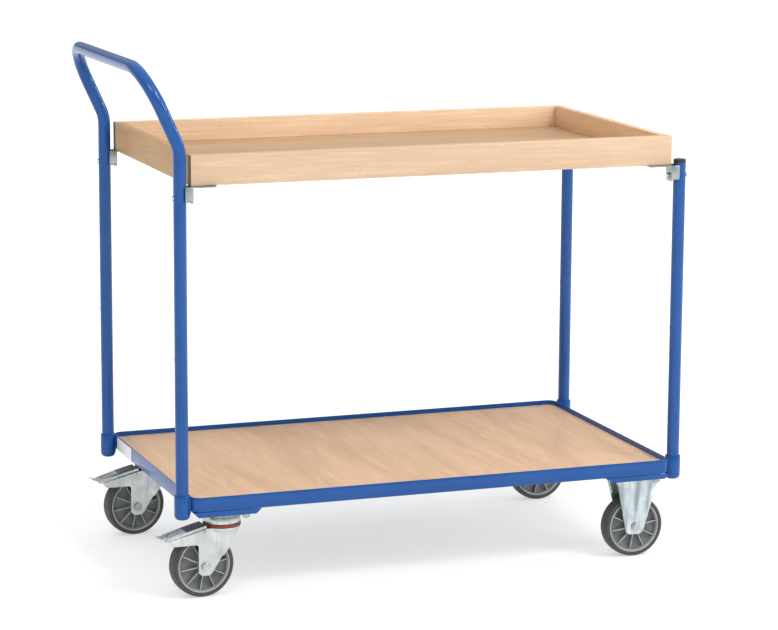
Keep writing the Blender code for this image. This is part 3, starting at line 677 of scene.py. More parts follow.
def build_deck():
    middle = middle_of("deck_frame")
    place = at(middle.x, middle.y)
    piece("angle_iron_frame", frame_mesh(*extents("deck_frame")), BLUE,
          "deck_frame", place)
    piece("deck_panel", panel_mesh(*extents("deck_board")), [BEECH_DECK, BACKING],
          "deck_board", place)
    gusset = gusset_mesh(*extents("corner_plate_front_left"))
    for side in SIDES:
        for end in ENDS:
            node = f"corner_plate_{side}_{end}"
            spot = middle_of(node)
            piece(f"gusset_{side}_{end}", gusset, BLUE, node, at(spot.x, spot.y))
    piece("blank_label", box(*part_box("label_plate"), edge=0.00025), LABEL,
          "label_plate")


# ---- tubes

def arc(middle, from_direction, to_direction, radius, steps):
    sweep = from_direction.angle(to_direction)
    axis = from_direction.cross(to_direction).normalized()
    return [middle + Matrix.Rotation(sweep * step / steps, 3, axis) @ from_direction * radius
            for step in range(steps + 1)]


def handle_path(post_x, post_y):
    """Up one post, over its knee, round the top corner; then the same mirrored."""
    up = Vector((0.0, 0.0, 1.0))
    lean = Vector((-math.sin(HANDLE_LEAN), 0.0, math.cos(HANDLE_LEAN)))
    inwards = Vector((0.0, -1.0, 0.0))
    knee = Vector((post_x, post_y, HANDLE_KNEE_Z))
    top = knee + lean * HANDLE_RISE
    half = [Vector((post_x, post_y, SOCKET_FLOOR + GAP))]
    knee_start = knee - up * KNEE_RADIUS * math.tan(HANDLE_LEAN / 2)
    knee_middle = knee_start + Vector((-KNEE_RADIUS, 0.0, 0.0))
    knee_out = Vector((math.cos(HANDLE_LEAN), 0.0, math.sin(HANDLE_LEAN)))
    half += arc(knee_middle, Vector((1.0, 0.0, 0.0)), knee_out, KNEE_RADIUS, 10)
    corner_middle = top - lean * CORNER_RADIUS + inwards * CORNER_RADIUS
    half += arc(corner_middle, -inwards, lean, CORNER_RADIUS, 24)
    return half + [Vector((p.x, -p.y, p.z)) for p in reversed(half)]


def hole_cutter(x, y):
    """A cutter along X for the spare shelf hole of a tube at (x, y)."""
    return rod(SHELF_HOLE_RADIUS, (x - 2 * TUBE_RADIUS, y, SHELF_HOLE_Z),
               (x + 2 * TUBE_RADIUS, y, SHELF_HOLE_Z), HOLE_SIDES)


def socket_mesh(flat):
    """A round-bottomed cup whose flat side, on +X, is welded to the frame's end."""
    nose = SOCKET_RADIUS * 0.6
    lip = 0.0007
    profile = [(0.0, SOCKET_FLOOR), (SOCKET_BORE, SOCKET_FLOOR), (SOCKET_BORE, SOCKET_TOP - lip),
               (SOCKET_BORE + lip * 0.4, SOCKET_TOP), (SOCKET_RADIUS - lip, SOCKET_TOP),
               (SOCKET_RADIUS - lip * 0.3, SOCKET_TOP - lip * 0.3),
               (SOCKET_RADIUS, SOCKET_TOP - lip)]
    for step in range(9):
        angle = math.radians(90) * step / 8
        profile.append((SOCKET_RADIUS - nose * (1 - math.cos(angle)),
                        SOCKET_BOTTOM + nose * (1 - math.sin(angle))))
    profile.append((0.0, SOCKET_BOTTOM))
    cup = turned(profile, steps=64)
    link = box(SOCKET_LINK_LOW, (flat + 0.001, SOCKET_LINK_HALF_WIDTH, SOCKET_LINK_TOP),
               edge=0.0015)
    bore = rod(SOCKET_BORE + GAP, (0.0, 0.0, SOCKET_FLOOR - CUT), (0.0, 0.0, SOCKET_TOP + CUT))
    beyond = box((flat, -0.1, SOCKET_BOTTOM - CUT), (0.1, 0.1, SOCKET_TOP + CUT))
    return cut(join(cup, cut(link, bore)), beyond)


def cap_mesh(foot, seat, top):
    """A plug inside the tube, with a head that sits on the tube's end at seat."""
    bore = TUBE_RADIUS - TUBE_WALL - GAP
    return turned([(0.0, top), (TUBE_RADIUS - 0.0022, top), (TUBE_RADIUS - 0.0008, top - 0.0004),
                   (TUBE_RADIUS - 0.0001, top - 0.0012), (TUBE_RADIUS, top - 0.002),
                   (TUBE_RADIUS, seat + 0.0003), (TUBE_RADIUS - 0.0003, seat), (bore, seat),
                   (bore, foot), (0.0, foot)], steps=64)


def build_tubes():
    left_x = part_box("socket_front_left")[0][0] + SOCKET_RADIUS
    post_y = abs(middle_of("socket_front_left").y)
    handle = tube(handle_path(left_x, post_y))
    handle = cut(handle, *[hole_cutter(left_x, y) for y in (-post_y, post_y)])
    piece("bent_tube_handle", handle, BLUE, "push_handle", sharp=40)

    socket = socket_mesh(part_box("socket_front_left")[1][0] - left_x)
    for side in SIDES:
        post_low, post_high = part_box(f"post_{side}_right")
        spot = middle_of(f"post_{side}_right")
        path = [Vector((spot.x, spot.y, post_low[2])), Vector((spot.x, spot.y, post_high[2]))]
        post = cut(tube(path), hole_cutter(spot.x, spot.y))
        piece(f"tube_post_{side}", post, BLUE, f"post_{side}_right")
        low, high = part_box(f"post_cap_{side}_right")
        piece(f"plug_cap_{side}", cap_mesh(low[2], post_high[2] + GAP, high[2]), BLACK,
              f"post_cap_{side}_right", at(spot.x, spot.y))
        for end, e in ENDS.items():
            node = f"socket_{side}_{end}"
            low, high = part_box(node)
            x = low[0] + SOCKET_RADIUS if e < 0 else high[0] - SOCKET_RADIUS
            turn = Matrix.Rotation(0.0 if e < 0 else math.pi, 4, "Z")
            piece(f"cup_socket_{side}_{end}", socket, BLUE, node,
                  at(x, middle_of(node).y) @ turn)


# ---- tray

def board(node, name, wood, shows_ends=False):
    """A board in the node's place with pencil-rounded edges and, if shown, sawn ends whose dark
    brown is partly painted shade.
    """
    mesh = box(*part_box(node), edge=BOARD_EDGE)
    materials = [wood]
    if shows_ends:
        # the end faces take the dark end grain, which also paints the shade at the tray's corners
        materials.append(END_GRAIN_AND_SHADE)
        painted(mesh, lambda centre, normal: 1 if abs(normal.x) > 0.7 else 0)
    piece(name, mesh, materials, node)


def bracket_mesh(top):
    """A saddle open towards the tube, with a flange from its web under the tray."""
    saddle = side_plate([(-BRACKET_HALF_WIDTH, top, 0.0),
                         (-BRACKET_HALF_WIDTH, BRACKET_BOTTOM, BRACKET_BEND),
                         (BRACKET_HALF_WIDTH, BRACKET_BOTTOM, BRACKET_BEND),
                         (BRACKET_HALF_WIDTH, top, 0.0)], (BRACKET_WEB - BRACKET_BACK) / 2)
    saddle.transform(Matrix.Rotation(math.pi / 2, 4, "Z"))
    saddle.transform(at((BRACKET_WEB + BRACKET_BACK) / 2, 0.0))
    room_y = TUBE_RADIUS + GAP
    room_x = BRACKET_WEB - BRACKET_WALL
    room = box((-CUT, -room_y, BRACKET_BOTTOM - CUT), (room_x, room_y, top + CUT))
    flange_y = BRACKET_HALF_WIDTH - GAP
    flange = box((BRACKET_WEB - BRACKET_WALL / 2, -flange_y, top - BRACKET_WALL),
                 (BRACKET_END, flange_y, top), 0.004)
    screw_hole = rod(SCREW_HOLE_RADIUS, (BRACKET_END - SCREW_BACK, 0.0, top - CUT),
                     (BRACKET_END - SCREW_BACK, 0.0, top + CUT), HOLE_SIDES)
    bolt_hole = rod(BOLT_RADIUS + GAP, (0.0, 0.0, BOLT_Z), (2 * BRACKET_WEB, 0.0, BOLT_Z),
                    HOLE_SIDES)
    return bevelled(cut(join(cut(saddle, room), flange), bolt_hole, screw_hole), 0.0005)


def screw_mesh(top):
    """A flat-headed wood screw with a cross slot, up through the bracket's flange."""
    face = top - BRACKET_WALL
    screw = turned([(0.0, face - 0.0022), (0.002, face - 0.0021), (0.0038, face - 0.0012),
                    (0.0045, face - GAP), (0.0022, face - GAP), (0.0022, top - GAP),
                    (0.0, top - GAP)], steps=32)
    slots = [box((-x, -y, face - CUT), (x, y, face - SCREW_SLOT_DEPTH)) for x, y in
             ((SCREW_SLOT_HALF_LENGTH, SCREW_SLOT_HALF_WIDTH),
              (SCREW_SLOT_HALF_WIDTH, SCREW_SLOT_HALF_LENGTH))]
    screw = cut(screw, *slots)
    screw.transform(at(BRACKET_END - SCREW_BACK, 0.0))
    return screw


def hexagon(radius, start, end):
    """A nut or bolt head with its corners chamfered as if turned."""
    body = rod(radius, start, end, 6)
    start = Vector(start)
    run = Vector(end) - start
    rise = run.length
    soft = radius * 0.10
    cone = turned([(0.0, 0.0), (radius - soft, 0.0), (radius + soft * 0.2, soft * 0.9),
                   (radius + soft * 0.2, rise - soft * 0.9), (radius - soft, rise), (0.0, rise)],
                  steps=48)
    cone.transform(Matrix.Translation(start) @ run.to_track_quat("Z", "Y").to_matrix().to_4x4())
    return boolean(body, [cone], "INTERSECT")


def bracket_bolt_mesh(nut_height, proud):
    """Hexagon head outside the tube, shank through it, nut on the bracket's web."""
    head_face = -TUBE_RADIUS - GAP
    nut_face = BRACKET_WEB + GAP
    shank = rod(BOLT_RADIUS, (head_face - BOLT_HEAD_HEIGHT / 2, 0.0, BOLT_Z),
                (nut_face + nut_height + proud, 0.0, BOLT_Z), 32, 0.0004)
    head = hexagon(BOLT_HEAD_RADIUS, (head_face - BOLT_HEAD_HEIGHT, 0.0, BOLT_Z),
                   (head_face, 0.0, BOLT_Z))
    nut = hexagon(NUT_RADIUS, (nut_face, 0.0, BOLT_Z), (nut_face + nut_height, 0.0, BOLT_Z))
    return join(shank, head, nut)


def build_tray():
    board("tray_rim_front", "tray_board_front", BEECH_FRONT, shows_ends=True)
    # the back board's paler beech is painted light
    board("tray_rim_back", "tray_board_back", BEECH_BACK_PAINTED_LIGHT, shows_ends=True)
    # the left end board's darker beech is painted shade
    board("tray_rim_left", "tray_board_left", BEECH_LEFT_PAINTED_SHADE)
    # the right end board's paler beech is painted light
    board("tray_rim_right", "tray_board_right", BEECH_RIGHT_PAINTED_LIGHT)
    # the tray floor's darker beech is painted shade
    piece("tray_bottom_panel", box(*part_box("tray_floor"), edge=0.0004), BEECH_FLOOR_PAINTED_SHADE,
          "tray_floor")

    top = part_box("tray_bracket_front_left")[1][2]
    bracket = bracket_mesh(top)
    bolts = {"left": bracket_bolt_mesh(FLAT_NUT_HEIGHT, FLAT_BOLT_PROUD),
             "right": bracket_bolt_mesh(NUT_HEIGHT, BOLT_PROUD)}
    screw = screw_mesh(top)
    for side in SIDES:
        for end, e in ENDS.items():
            node = f"tray_bracket_{side}_{end}"
            low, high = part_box(node)
            x = low[0] - BRACKET_BACK if e < 0 else high[0] + BRACKET_BACK
            turn = Matrix.Rotation(0.0 if e < 0 else math.pi, 4, "Z")
            spot = at(x, middle_of(node).y) @ turn
            # the bracket's darker zinc is painted shade
            piece(f"angle_bracket_{side}_{end}", bracket, BRACKET_ZINC_PAINTED_SHADE, node, spot)
            piece(f"hex_bolt_{side}_{end}", bolts[end], BOLT_ZINC,
                  f"bracket_bolt_{side}_{end}", spot)
            piece(f"wood_screw_{side}_{end}", screw, BOLT_ZINC, place=spot)


# ---- wheels

def tyre_mesh():
    """A solid tread with round shoulders and a slightly crowned running face."""
    half = TYRE_HALF_WIDTH
    inner = RIM_RADIUS + GAP
    shoulder = [(inner, half - 0.0010), (inner + 0.0004, half - 0.0005),
                (inner + 0.0012, half - 0.0003), (WHEEL_RADIUS - 0.0052, half)]
    for step in range(1, 9):
        angle = math.radians(90) * step / 8
        shoulder.append((WHEEL_RADIUS - 0.0006 - 0.0046 * (1 - math.sin(angle)),
                         half - 0.0046 * (1 - math.cos(angle))))
    shoulder.append((WHEEL_RADIUS - 0.0001, half - 0.0085))
    shoulder.append((WHEEL_RADIUS, half - 0.0130))
    mirrored = [(radius, -height) for radius, height in reversed(shoulder)]
    return turned(shoulder + mirrored, closed=True, steps=128)


def rim_mesh():
    """Hub, dished disc, ribs and outer ring of one plastic moulding."""
    half = [(0.0056, 0.0), (0.0056, HUB_HALF_WIDTH - 0.0005), (0.0061, HUB_HALF_WIDTH),
            (0.0128, HUB_HALF_WIDTH), (0.0135, HUB_HALF_WIDTH - 0.0007), (0.0143, 0.0062),
            (0.0165, 0.0044), (0.0300, 0.0030), (0.0430, 0.0034), (0.0462, 0.0052),
            (0.0474, 0.0090), (0.0482, 0.0122), (0.0488, 0.0129), (0.0508, 0.0136),
            (0.0514, 0.0147), (0.0518, 0.0150), (0.0527, 0.0150), (0.0532, 0.0147),
            (RIM_RADIUS, 0.0140)]
    section = half + [(radius, -height) for radius, height in reversed(half[1:])]
    disc = turned(section, closed=True, steps=120)
    ribs = []
    for index in range(RIB_COUNT):
        rib = loft([[(x, y, z) for x, z in RIB_OUTLINE]
                    for y in (-RIB_HALF_WIDTH, RIB_HALF_WIDTH)])
        rib = bevelled(rib, 0.0004, 40.0)
        rib.transform(Matrix.Rotation(2 * math.pi * index / RIB_COUNT + RIB_TURN, 4, "Z"))
        ribs.append(rib)
    wheel = join(disc, together(*ribs))

    def highlight_or_web(centre, normal):
        """The outer ring's face and the ribs' tops are paler than the disc: a painted highlight
        on the moulding's raised faces.
        """
        reach = math.hypot(centre.x, centre.y)
        under_rib_top = 0.0148 - (reach - 0.012) * 0.083
        on_ring = reach > 0.0509 and abs(centre.z) > 0.0130
        on_rib = 0.0145 < reach < 0.0478 and abs(centre.z) > under_rib_top
        return 1 if on_ring or on_rib else 0

    return painted(wheel, highlight_or_web)


def axle_mesh():
    """Bolt along Y with a washer and a hexagon on each side of the fork."""
    face = FORK_INNER + FORK_WALL + GAP
    parts = []
    for side in (-1, 1):
        washer_ring = rod(AXLE_HEAD_RADIUS, (0.0, side * face, 0.0),
                          (0.0, side * (face + AXLE_WASHER), 0.0), 64, 0.0003)
        head = hexagon(AXLE_HEXAGON_RADIUS, (0.0, side * (face + AXLE_WASHER - 0.0002), 0.0),
                       (0.0, side * (face + AXLE_HEAD_HEIGHT), 0.0))
        parts += [washer_ring, head]
    shank = rod(AXLE_RADIUS, (0.0, -face - AXLE_HEAD_HEIGHT / 2, 0.0),
                (0.0, face + AXLE_HEAD_HEIGHT + 0.002, 0.0), 32, 0.0006)
    return join(shank, *parts)


def build_wheels(place_of):
    """Rim, tread and axle bolt at each caster's place."""
    tyre = tyre_mesh()
    rim = rim_mesh()
    axle = axle_mesh()
    lie_down = Matrix.Rotation(math.pi / 2, 4, "X")
    for corner, (local, holder) in place_of.items():
        back = TRAIL if corner.endswith("left") else 0.0
        place = local @ at(-back, 0.0, WHEEL_RADIUS)
        body = f"wheel_{corner}"
        piece(f"ribbed_rim_{corner}", rim, [RIM_GREY, RIM_EDGE_HIGHLIGHT],
              f"rim_{corner}", place @ lie_down, body)
        piece(f"rubber_tread_{corner}", tyre, TYRE, f"tyre_{corner}",
              place @ lie_down, body)
        piece(f"axle_hex_bolt_{corner}", axle, AXLE_STEEL, f"axle_bolt_{corner}", place,
              holder)


# ---- caster housings

def plate_bolt_mesh():
    """Nut and bolt end under the caster plate."""
    def below(depth):
        return (0.0, 0.0, PLATE_BOTTOM - depth)

    nut = hexagon(0.0076, below(0.0072), below(0.0012))
    washer = rod(0.0088, below(0.0013), below(0.0001), 48, 0.0003)
    end = rod(0.0039, below(0.0095), below(0.0030), 32, 0.0006)
    return join(nut, washer, end)


def axle_hole(x):
    reach = 2 * FORK_INNER
    return rod(AXLE_RADIUS + GAP, (x, -reach, WHEEL_RADIUS), (x, reach, WHEEL_RADIUS), 32)


def caster_plate_mesh():
    return box((-PLATE_LENGTH / 2, -PLATE_WIDTH / 2, PLATE_BOTTOM),
               (PLATE_LENGTH / 2, PLATE_WIDTH / 2, PLATE_TOP), 0.008, 0.0005)


def fixed_fork_mesh():
    """Two splayed cheeks that narrow down to the axle, below the mounting plate."""
    outline = [(-FIXED_TOP_HALF, PLATE_TOP, 0.0), (-FIXED_FOOT_HALF, FIXED_FOOT_Z, 0.012),
               (FIXED_FOOT_HALF, FIXED_FOOT_Z, 0.012), (FIXED_TOP_HALF, PLATE_TOP, 0.0)]
    level = WHEEL_RADIUS + AXLE_HEAD_RADIUS
    cheeks = splayed(side_plate(outline, FORK_INNER + FORK_WALL), FIXED_SPLAY, level)
    room = splayed(box((-0.1, -FORK_INNER, 0.0), (0.1, FORK_INNER, PLATE_BOTTOM)),
                   FIXED_SPLAY, level)
    return cut(join(cut(cheeks, room), caster_plate_mesh()), axle_hole(0.0))


def swivel_head_mesh():
    """Mounting plate with the upper ball race pressed into it, bored for the kingpin."""
    race = turned([(KINGPIN_BORE, 0.1645), (0.029, 0.1645), (0.0312, 0.1600), (0.0322, 0.1578),
                   (0.0345, 0.1562), (RACE_RADIUS - 0.0006, 0.1550), (RACE_RADIUS, 0.1540),
                   (RACE_RADIUS, 0.1465), (RACE_RADIUS - 0.0003, 0.1452), (0.0352, 0.1436),
                   (0.0344, RACE_BOTTOM), (KINGPIN_BORE, RACE_BOTTOM)], closed=True)
    hole = rod(KINGPIN_BORE, (0.0, 0.0, PLATE_BOTTOM - CUT / 2),
               (0.0, 0.0, PLATE_BOTTOM + CUT))
    return cut(join(caster_plate_mesh(), race), hole)


def seal_mesh():
    """The ring between race and crown, its outer face slightly waisted."""
    bottom = CROWN_TOP + GAP
    top = RACE_BOTTOM - GAP
    lip = 0.0012
    return turned([(SEAL_INNER, top), (SEAL_RADIUS - lip, top),
                   (SEAL_RADIUS - lip * 0.3, top - lip * 0.3), (SEAL_RADIUS, top - lip),
                   (SEAL_RADIUS - 0.0004, bottom + 0.0022), (SEAL_RADIUS, bottom + lip),
                   (SEAL_RADIUS - lip * 0.3, bottom + lip * 0.3), (SEAL_RADIUS - lip, bottom),
                   (SEAL_INNER, bottom)], closed=True)


def swivel_fork_mesh():
    """Crown with a flared neck; each cheek has a leg to the axle and an arm under the pedal."""
    outline = [(0.030, CROWN_TOP, 0.0), (-0.0274, 0.0498, 0.004), (-0.033, 0.0438, 0.003),
               (-0.050, 0.0438, 0.006), (-0.057, 0.0505, 0.004), (-0.057, 0.1060, 0.004),
               (-0.112, 0.1075, 0.010), (-0.1185, 0.1190, 0.002), (-0.062, 0.1315, 0.030),
               (-0.038, CROWN_TOP, 0.010)]
    cheeks = side_plate(outline, FORK_INNER + FORK_WALL)
    neck = turned([(0.0, CROWN_TOP), (CROWN_RADIUS, CROWN_TOP), (CROWN_RADIUS, CROWN_TOP - 0.003),
                   (0.0322, 0.1290), (0.0282, 0.1200), (0.0252, 0.1090), (0.0230, 0.0960),
                   (FLARE_FOOT_RADIUS, FLARE_FOOT_Z), (0.0, FLARE_FOOT_Z)])
    # the flare stays behind the straight line from the crown's front edge to the leg
    limit = side_plate([(0.0365, 0.1400, 0.0), (0.0365, 0.1325, 0.0), (-0.0274, 0.0498, 0.0),
                        (-0.0600, 0.0498, 0.0), (-0.0600, 0.1400, 0.0)], 2 * FORK_INNER)
    neck = boolean(neck, [limit], "INTERSECT")
    room = box((-0.2, -FORK_INNER, 0.0), (0.1, FORK_INNER, CROWN_TOP - CROWN_WALL))
    roof_gap = box((-0.2, -FORK_INNER, 0.1), (-CROWN_END, FORK_INNER, CROWN_TOP + CUT))
    king_hole = rod(KINGPIN_BORE, (0.0, 0.0, CROWN_TOP - CUT), (0.0, 0.0, CROWN_TOP + CUT))
    return cut(join(cheeks, neck), room, roof_gap, axle_hole(-TRAIL), king_hole)


def pedal_mesh():
    """A shallow channel over the arms that ends in a narrower, upturned tongue."""
    half = PEDAL_HALF_WIDTH
    tongue = [(-PEDAL_BODY_END, 0.1165, 0.002), (-PEDAL_BODY_END, 0.1207, 0.0),
              (-0.1280, 0.1212, 0.0), (-PEDAL_TIP, 0.1250, 0.0), (-PEDAL_TIP, 0.1274, 0.0),
              (-0.1280, 0.1235, 0.0)]
    flange_foot = [(-0.0375, 0.1255, 0.002), (-0.0500, 0.1255, 0.004), (-0.0560, 0.1290, 0.002)]
    outline = flange_foot + tongue + [(x, z, 0.0) for x, z in reversed(PEDAL_CREST)]
    solid = side_plate(outline, half)
    end_wall = -PEDAL_BODY_END + 0.002
    ceiling = [(x, z - PEDAL_WALL, 0.0) for x, z in PEDAL_CREST[:-1]] + [(end_wall, 0.1210, 0.0)]
    channel = side_plate([(-0.030, 0.1100, 0.0), (-0.030, 0.1420, 0.0)] + ceiling
                         + [(end_wall, 0.1100, 0.0)], half - PEDAL_WALL)
    past_end = -PEDAL_BODY_END - GAP
    trims = [box((-0.2, PEDAL_TONGUE_HALF, 0.1), (past_end, 2 * half, 0.2)),
             box((-0.2, -2 * half, 0.1), (past_end, -PEDAL_TONGUE_HALF, 0.2))]
    pin_hole = rod(PEDAL_PIN_RADIUS + GAP, (-PEDAL_PIN_BACK, -2 * half, PEDAL_PIN_Z),
                   (-PEDAL_PIN_BACK, 2 * half, PEDAL_PIN_Z), HOLE_SIDES)

    def zinc_or_coating(centre, normal):
        return 0 if abs(normal.y) > 0.6 or centre.x < -PEDAL_GREY_END else 1

    return painted(bevelled(cut(solid, channel, *trims, pin_hole), 0.0007), zinc_or_coating)


def dark_u_shade_mesh():
    """A dark U on the pedal's outer end, a hair proud of its slope: a sheet of painted shade
    where the groove's recess lies.
    """
    start, end = -0.0865, -0.1155
    outer, inner = 0.0082, 0.0056
    (near_x, near_z), (far_x, far_z) = PEDAL_CREST[2], PEDAL_CREST[-1]
    slope = (near_z - far_z) / (near_x - far_x)
    loop = [(start, -outer), (end + 0.003, -outer), (end, -outer + 0.003), (end, outer - 0.003),
            (end + 0.003, outer), (start, outer), (start, inner), (end + 0.004, inner),
            (end + 0.0028, inner - 0.0012), (end + 0.0028, -inner + 0.0012),
            (end + 0.004, -inner), (start, -inner)]
    return loft([[(x, y, near_z + (x - near_x) * slope + rise) for x, y in loop]
                 for rise in (-0.0006, 0.0003)])


def crease(mesh):
    """A pressed groove down each cheek of the swivel fork, behind the flare."""
    def ramp(value, low, high):
        t = min(max((value - low) / (high - low), 0.0), 1.0)
        return t * t * (3 - 2 * t)

    for vertex in mesh.vertices:
        x, y, z = vertex.co
        if abs(y) > FORK_INNER - 0.002 and z < CROWN_TOP - 0.006:
            depth = (CREASE_DEPTH * ramp(x, -0.0205, -0.0180) * (1 - ramp(x, -0.0140, 0.0040))
                     * ramp(z, 0.072, 0.100))
            vertex.co.y -= math.copysign(depth, y)
    return mesh


def rolled_edges(mesh):
    """The fixed fork's cheeks curl slightly towards the wheel along their slanting edges."""
    rise = PLATE_TOP - FIXED_FOOT_Z
    for vertex in mesh.vertices:
        x, y, z = vertex.co
        half = FIXED_FOOT_HALF + (FIXED_TOP_HALF - FIXED_FOOT_HALF) * (z - FIXED_FOOT_Z) / rise
        reach = min(max((abs(x) - half + ROLL_WIDTH) / ROLL_WIDTH, 0.0), 1.0)
        if z < PLATE_BOTTOM - 0.003:
            vertex.co.y -= math.copysign(ROLL_DEPTH * reach * reach, y)
    return mesh


def rivet_mesh():
    """The pedal's pin with a domed head on each end."""
    reach = FORK_INNER + FORK_WALL
    pin = rod(PEDAL_PIN_RADIUS, (-PEDAL_PIN_BACK, -reach - RIVET_PROUD, PEDAL_PIN_Z),
              (-PEDAL_PIN_BACK, reach + RIVET_PROUD, PEDAL_PIN_Z), 32)
    heads = []
    for side in (-1, 1):
        dome = turned([(0.0, 0.0012), (0.0016, 0.0011), (0.0030, 0.0007), (0.0036, 0.0),
                       (0.0036, -0.0002), (0.0, -0.0002)], steps=32)
        dome.transform(at(-PEDAL_PIN_BACK, side * (reach + GAP), PEDAL_PIN_Z)
                       @ Matrix.Rotation(-side * math.pi / 2, 4, "X"))
        heads.append(dome)
    return join(pin, *heads)


def hang_nuts(corner, nut, spot):
    """The four nuts under one caster's plate."""
    for index, (x, y) in enumerate(PLATE_BOLTS):
        piece(f"plate_nut_{corner}_{index}", nut, AXLE_STEEL, place=spot @ at(x, y))


def build_casters():
    """Both kinds of caster; returns each corner's place and the body that holds its axle."""
    place_of = {}
    plate_bolt = plate_bolt_mesh()
    fixed_fork = rolled_edges(pressed(fixed_fork_mesh()))
    head = swivel_head_mesh()
    seal = seal_mesh()
    fork = crease(pressed(swivel_fork_mesh()))
    pedal = pedal_mesh()
    # a dark sheet that paints the shade in the pedal's groove
    groove = dark_u_shade_mesh()
    rivet = rivet_mesh()
    for side in SIDES:
        corner = f"{side}_right"
        hub = middle_of(f"rim_{corner}")
        place = at(hub.x, hub.y)
        place_of[corner] = (place, "chassis")
        # the fixed housing's zinc carries painted sheen and shade bands
        piece(f"fixed_housing_{corner}", fixed_fork, FIXED_ZINC_PAINTED_SHEEN, f"fixed_fork_{corner}",
              place)
        hang_nuts(corner, plate_bolt, place)

        corner = f"{side}_left"
        hub = middle_of(f"rim_{corner}")
        axis = middle_of(f"kingpin_{corner}")
        heading = math.atan2(axis.y - hub.y, axis.x - hub.x)
        spot = at(axis.x, axis.y)
        local = spot @ Matrix.Rotation(heading, 4, "Z")
        body = f"swivel_{corner}"
        place_of[corner] = (local, body)
        piece(f"race_plate_{corner}", head, ZINC, f"swivel_head_{corner}", spot)
        hang_nuts(corner, plate_bolt, spot)
        piece(f"seal_ring_{corner}", seal, SEAL_RED, f"swivel_seal_{corner}", local,
              body)
        piece(f"fork_housing_{corner}", fork, ZINC, f"swivel_fork_{corner}", local, body)
        piece(f"pedal_rivet_{corner}", rivet, BOLT_ZINC, f"pedal_pin_{corner}", local,
              body)
        piece(f"stop_pedal_{corner}", pedal, [ZINC, PEDAL_GREY],
              f"brake_pedal_{corner}", local, f"pedal_{corner}")
        # the dark U is painted shade of the groove
        piece(f"pedal_dark_u_shade_{corner}", groove, PEDAL_GREY, None, local,
              f"pedal_{corner}")
    return place_of


# ---- stage, light and camera

def refinish(node, material):
    """A carried-over CAD node keeps its mesh and takes a finished material."""
    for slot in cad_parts[node].material_slots:
        slot.material = material


def build_stage():
    """A white light-table floor: it glows a little less under and around the trolley, a painted
    shade that deepens the trolley's shadow.
    """
    shape = bmesh.new()
    bmesh.ops.create_grid(shape, x_segments=1, y_segments=1, size=FLOOR_HALF_SIZE)
    floor = bpy.data.objects.new("studio_floor", as_mesh(shape))
    bpy.context.scene.collection.objects.link(floor)
    f = Finish("studio_floor_white", Roughness=0.9, IOR=1.3, Specular_IOR_Level=0.1)
    f.colour(f.blend(f.ranged(f.noise(0.8, 2.0), 0.0, 1.0), (0.492, 0.500, 0.506),
                     (0.507, 0.515, 0.521)))
    f.shader.inputs["Emission Color"].default_value = (1.0, 1.0, 1.0, 1.0)
    # the glow changes between 0.8 m and 3.5 m from the trolley's middle; the dimmer glow near it
    # is painted shade
    reach = f.add("ShaderNodeVectorMath", {0: f.place}, operation="LENGTH").outputs["Value"]
    glow = f.ranged(reach, FLOOR_GLOW_NEAR, FLOOR_GLOW_FAR, 0.8, 3.5)
    f.tree.links.new(glow, f.shader.inputs["Emission Strength"])
    floor.data.materials.append(f.material)


def area_light(name, place, target, size, energy):
    light = bpy.data.lights.new(name, "AREA")
    light.shape = "RECTANGLE"
    light.size, light.size_y = size
    light.energy = energy
    obj = bpy.data.objects.new(name, light)
    obj.location = place
    aim = Vector(target) - Vector(place)
    obj.rotation_euler = aim.to_track_quat("-Z", "Y").to_euler()
    bpy.context.scene.collection.objects.link(obj)


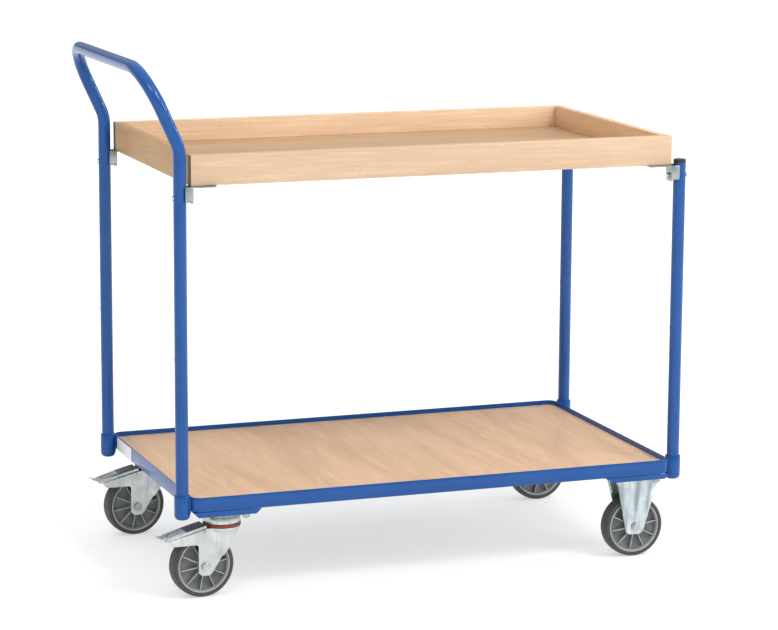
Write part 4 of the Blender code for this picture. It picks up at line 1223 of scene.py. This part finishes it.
def build_light():
    """A bright ceiling, dim walls above a white rim, a softbox and three smaller lamps."""
    world = bpy.data.worlds.new("soft_white_studio")
    bpy.context.scene.world = world
    world.use_nodes = True
    tree = world.node_tree
    direction = tree.nodes.new("ShaderNodeTexCoord")
    parts = tree.nodes.new("ShaderNodeSeparateXYZ")
    brightest = tree.nodes.new("ShaderNodeMath")
    brightest.operation = "MAXIMUM"
    tree.links.new(direction.outputs["Generated"], parts.inputs["Vector"])
    # over a range of the direction's rise, a range of strength: the rim at the horizon, the sky
    for index, limits in enumerate([(0.05, 0.09, 1.05, 0.26), (0.10, 0.80, 0.26, 1.20)]):
        ramp = tree.nodes.new("ShaderNodeMapRange")
        for socket, value in zip(("From Min", "From Max", "To Min", "To Max"), limits):
            ramp.inputs[socket].default_value = value
        tree.links.new(parts.outputs["Z"], ramp.inputs["Value"])
        tree.links.new(ramp.outputs["Result"], brightest.inputs[index])
    tree.links.new(brightest.outputs["Value"], tree.nodes["Background"].inputs["Strength"])
    tree.nodes["Background"].inputs["Color"].default_value = (1.0, 1.0, 1.0, 1.0)
    area_light("key_softbox", (1.8, -3.2, 4.0), (0.0, 0.0, 0.5), (1.4, 1.4), 84.0)
    area_light("front_left_lamp", (-2.2, -3.1, 4.0), FRONT_LEFT_POST, (0.90, 0.90), 40.0)
    area_light("front_right_strip", (2.7, -3.0, 2.4), FRONT_LEFT_POST, (0.35, 1.8), 32.0)
    area_light("right_strip", (3.9, -0.3, 1.9), FRONT_LEFT_POST, (0.40, 1.0), 27.0)


def build_camera():
    """The photo's viewpoint, and plain colour handling so that white stays white."""
    camera = bpy.data.cameras.new("photo_view")
    camera.lens = CAMERA_LENS
    camera.sensor_width = FILM_WIDTH
    camera.clip_end = 200.0
    obj = bpy.data.objects.new("photo_view", camera)
    obj.location = CAMERA_PLACE
    obj.rotation_euler = (CAMERA_TILT, CAMERA_ROLL, CAMERA_HEADING)
    bpy.context.scene.collection.objects.link(obj)
    bpy.context.scene.camera = obj
    bpy.context.scene.view_settings.view_transform = "Standard"


build_deck()
build_tubes()
build_tray()
build_wheels(build_casters())
for corner_side in SIDES:
    refinish(f"kingpin_{corner_side}_left", BOLT_ZINC)
    refinish(f"brake_shoe_{corner_side}_left", BLACK)
build_stage()
build_light()
build_camera()
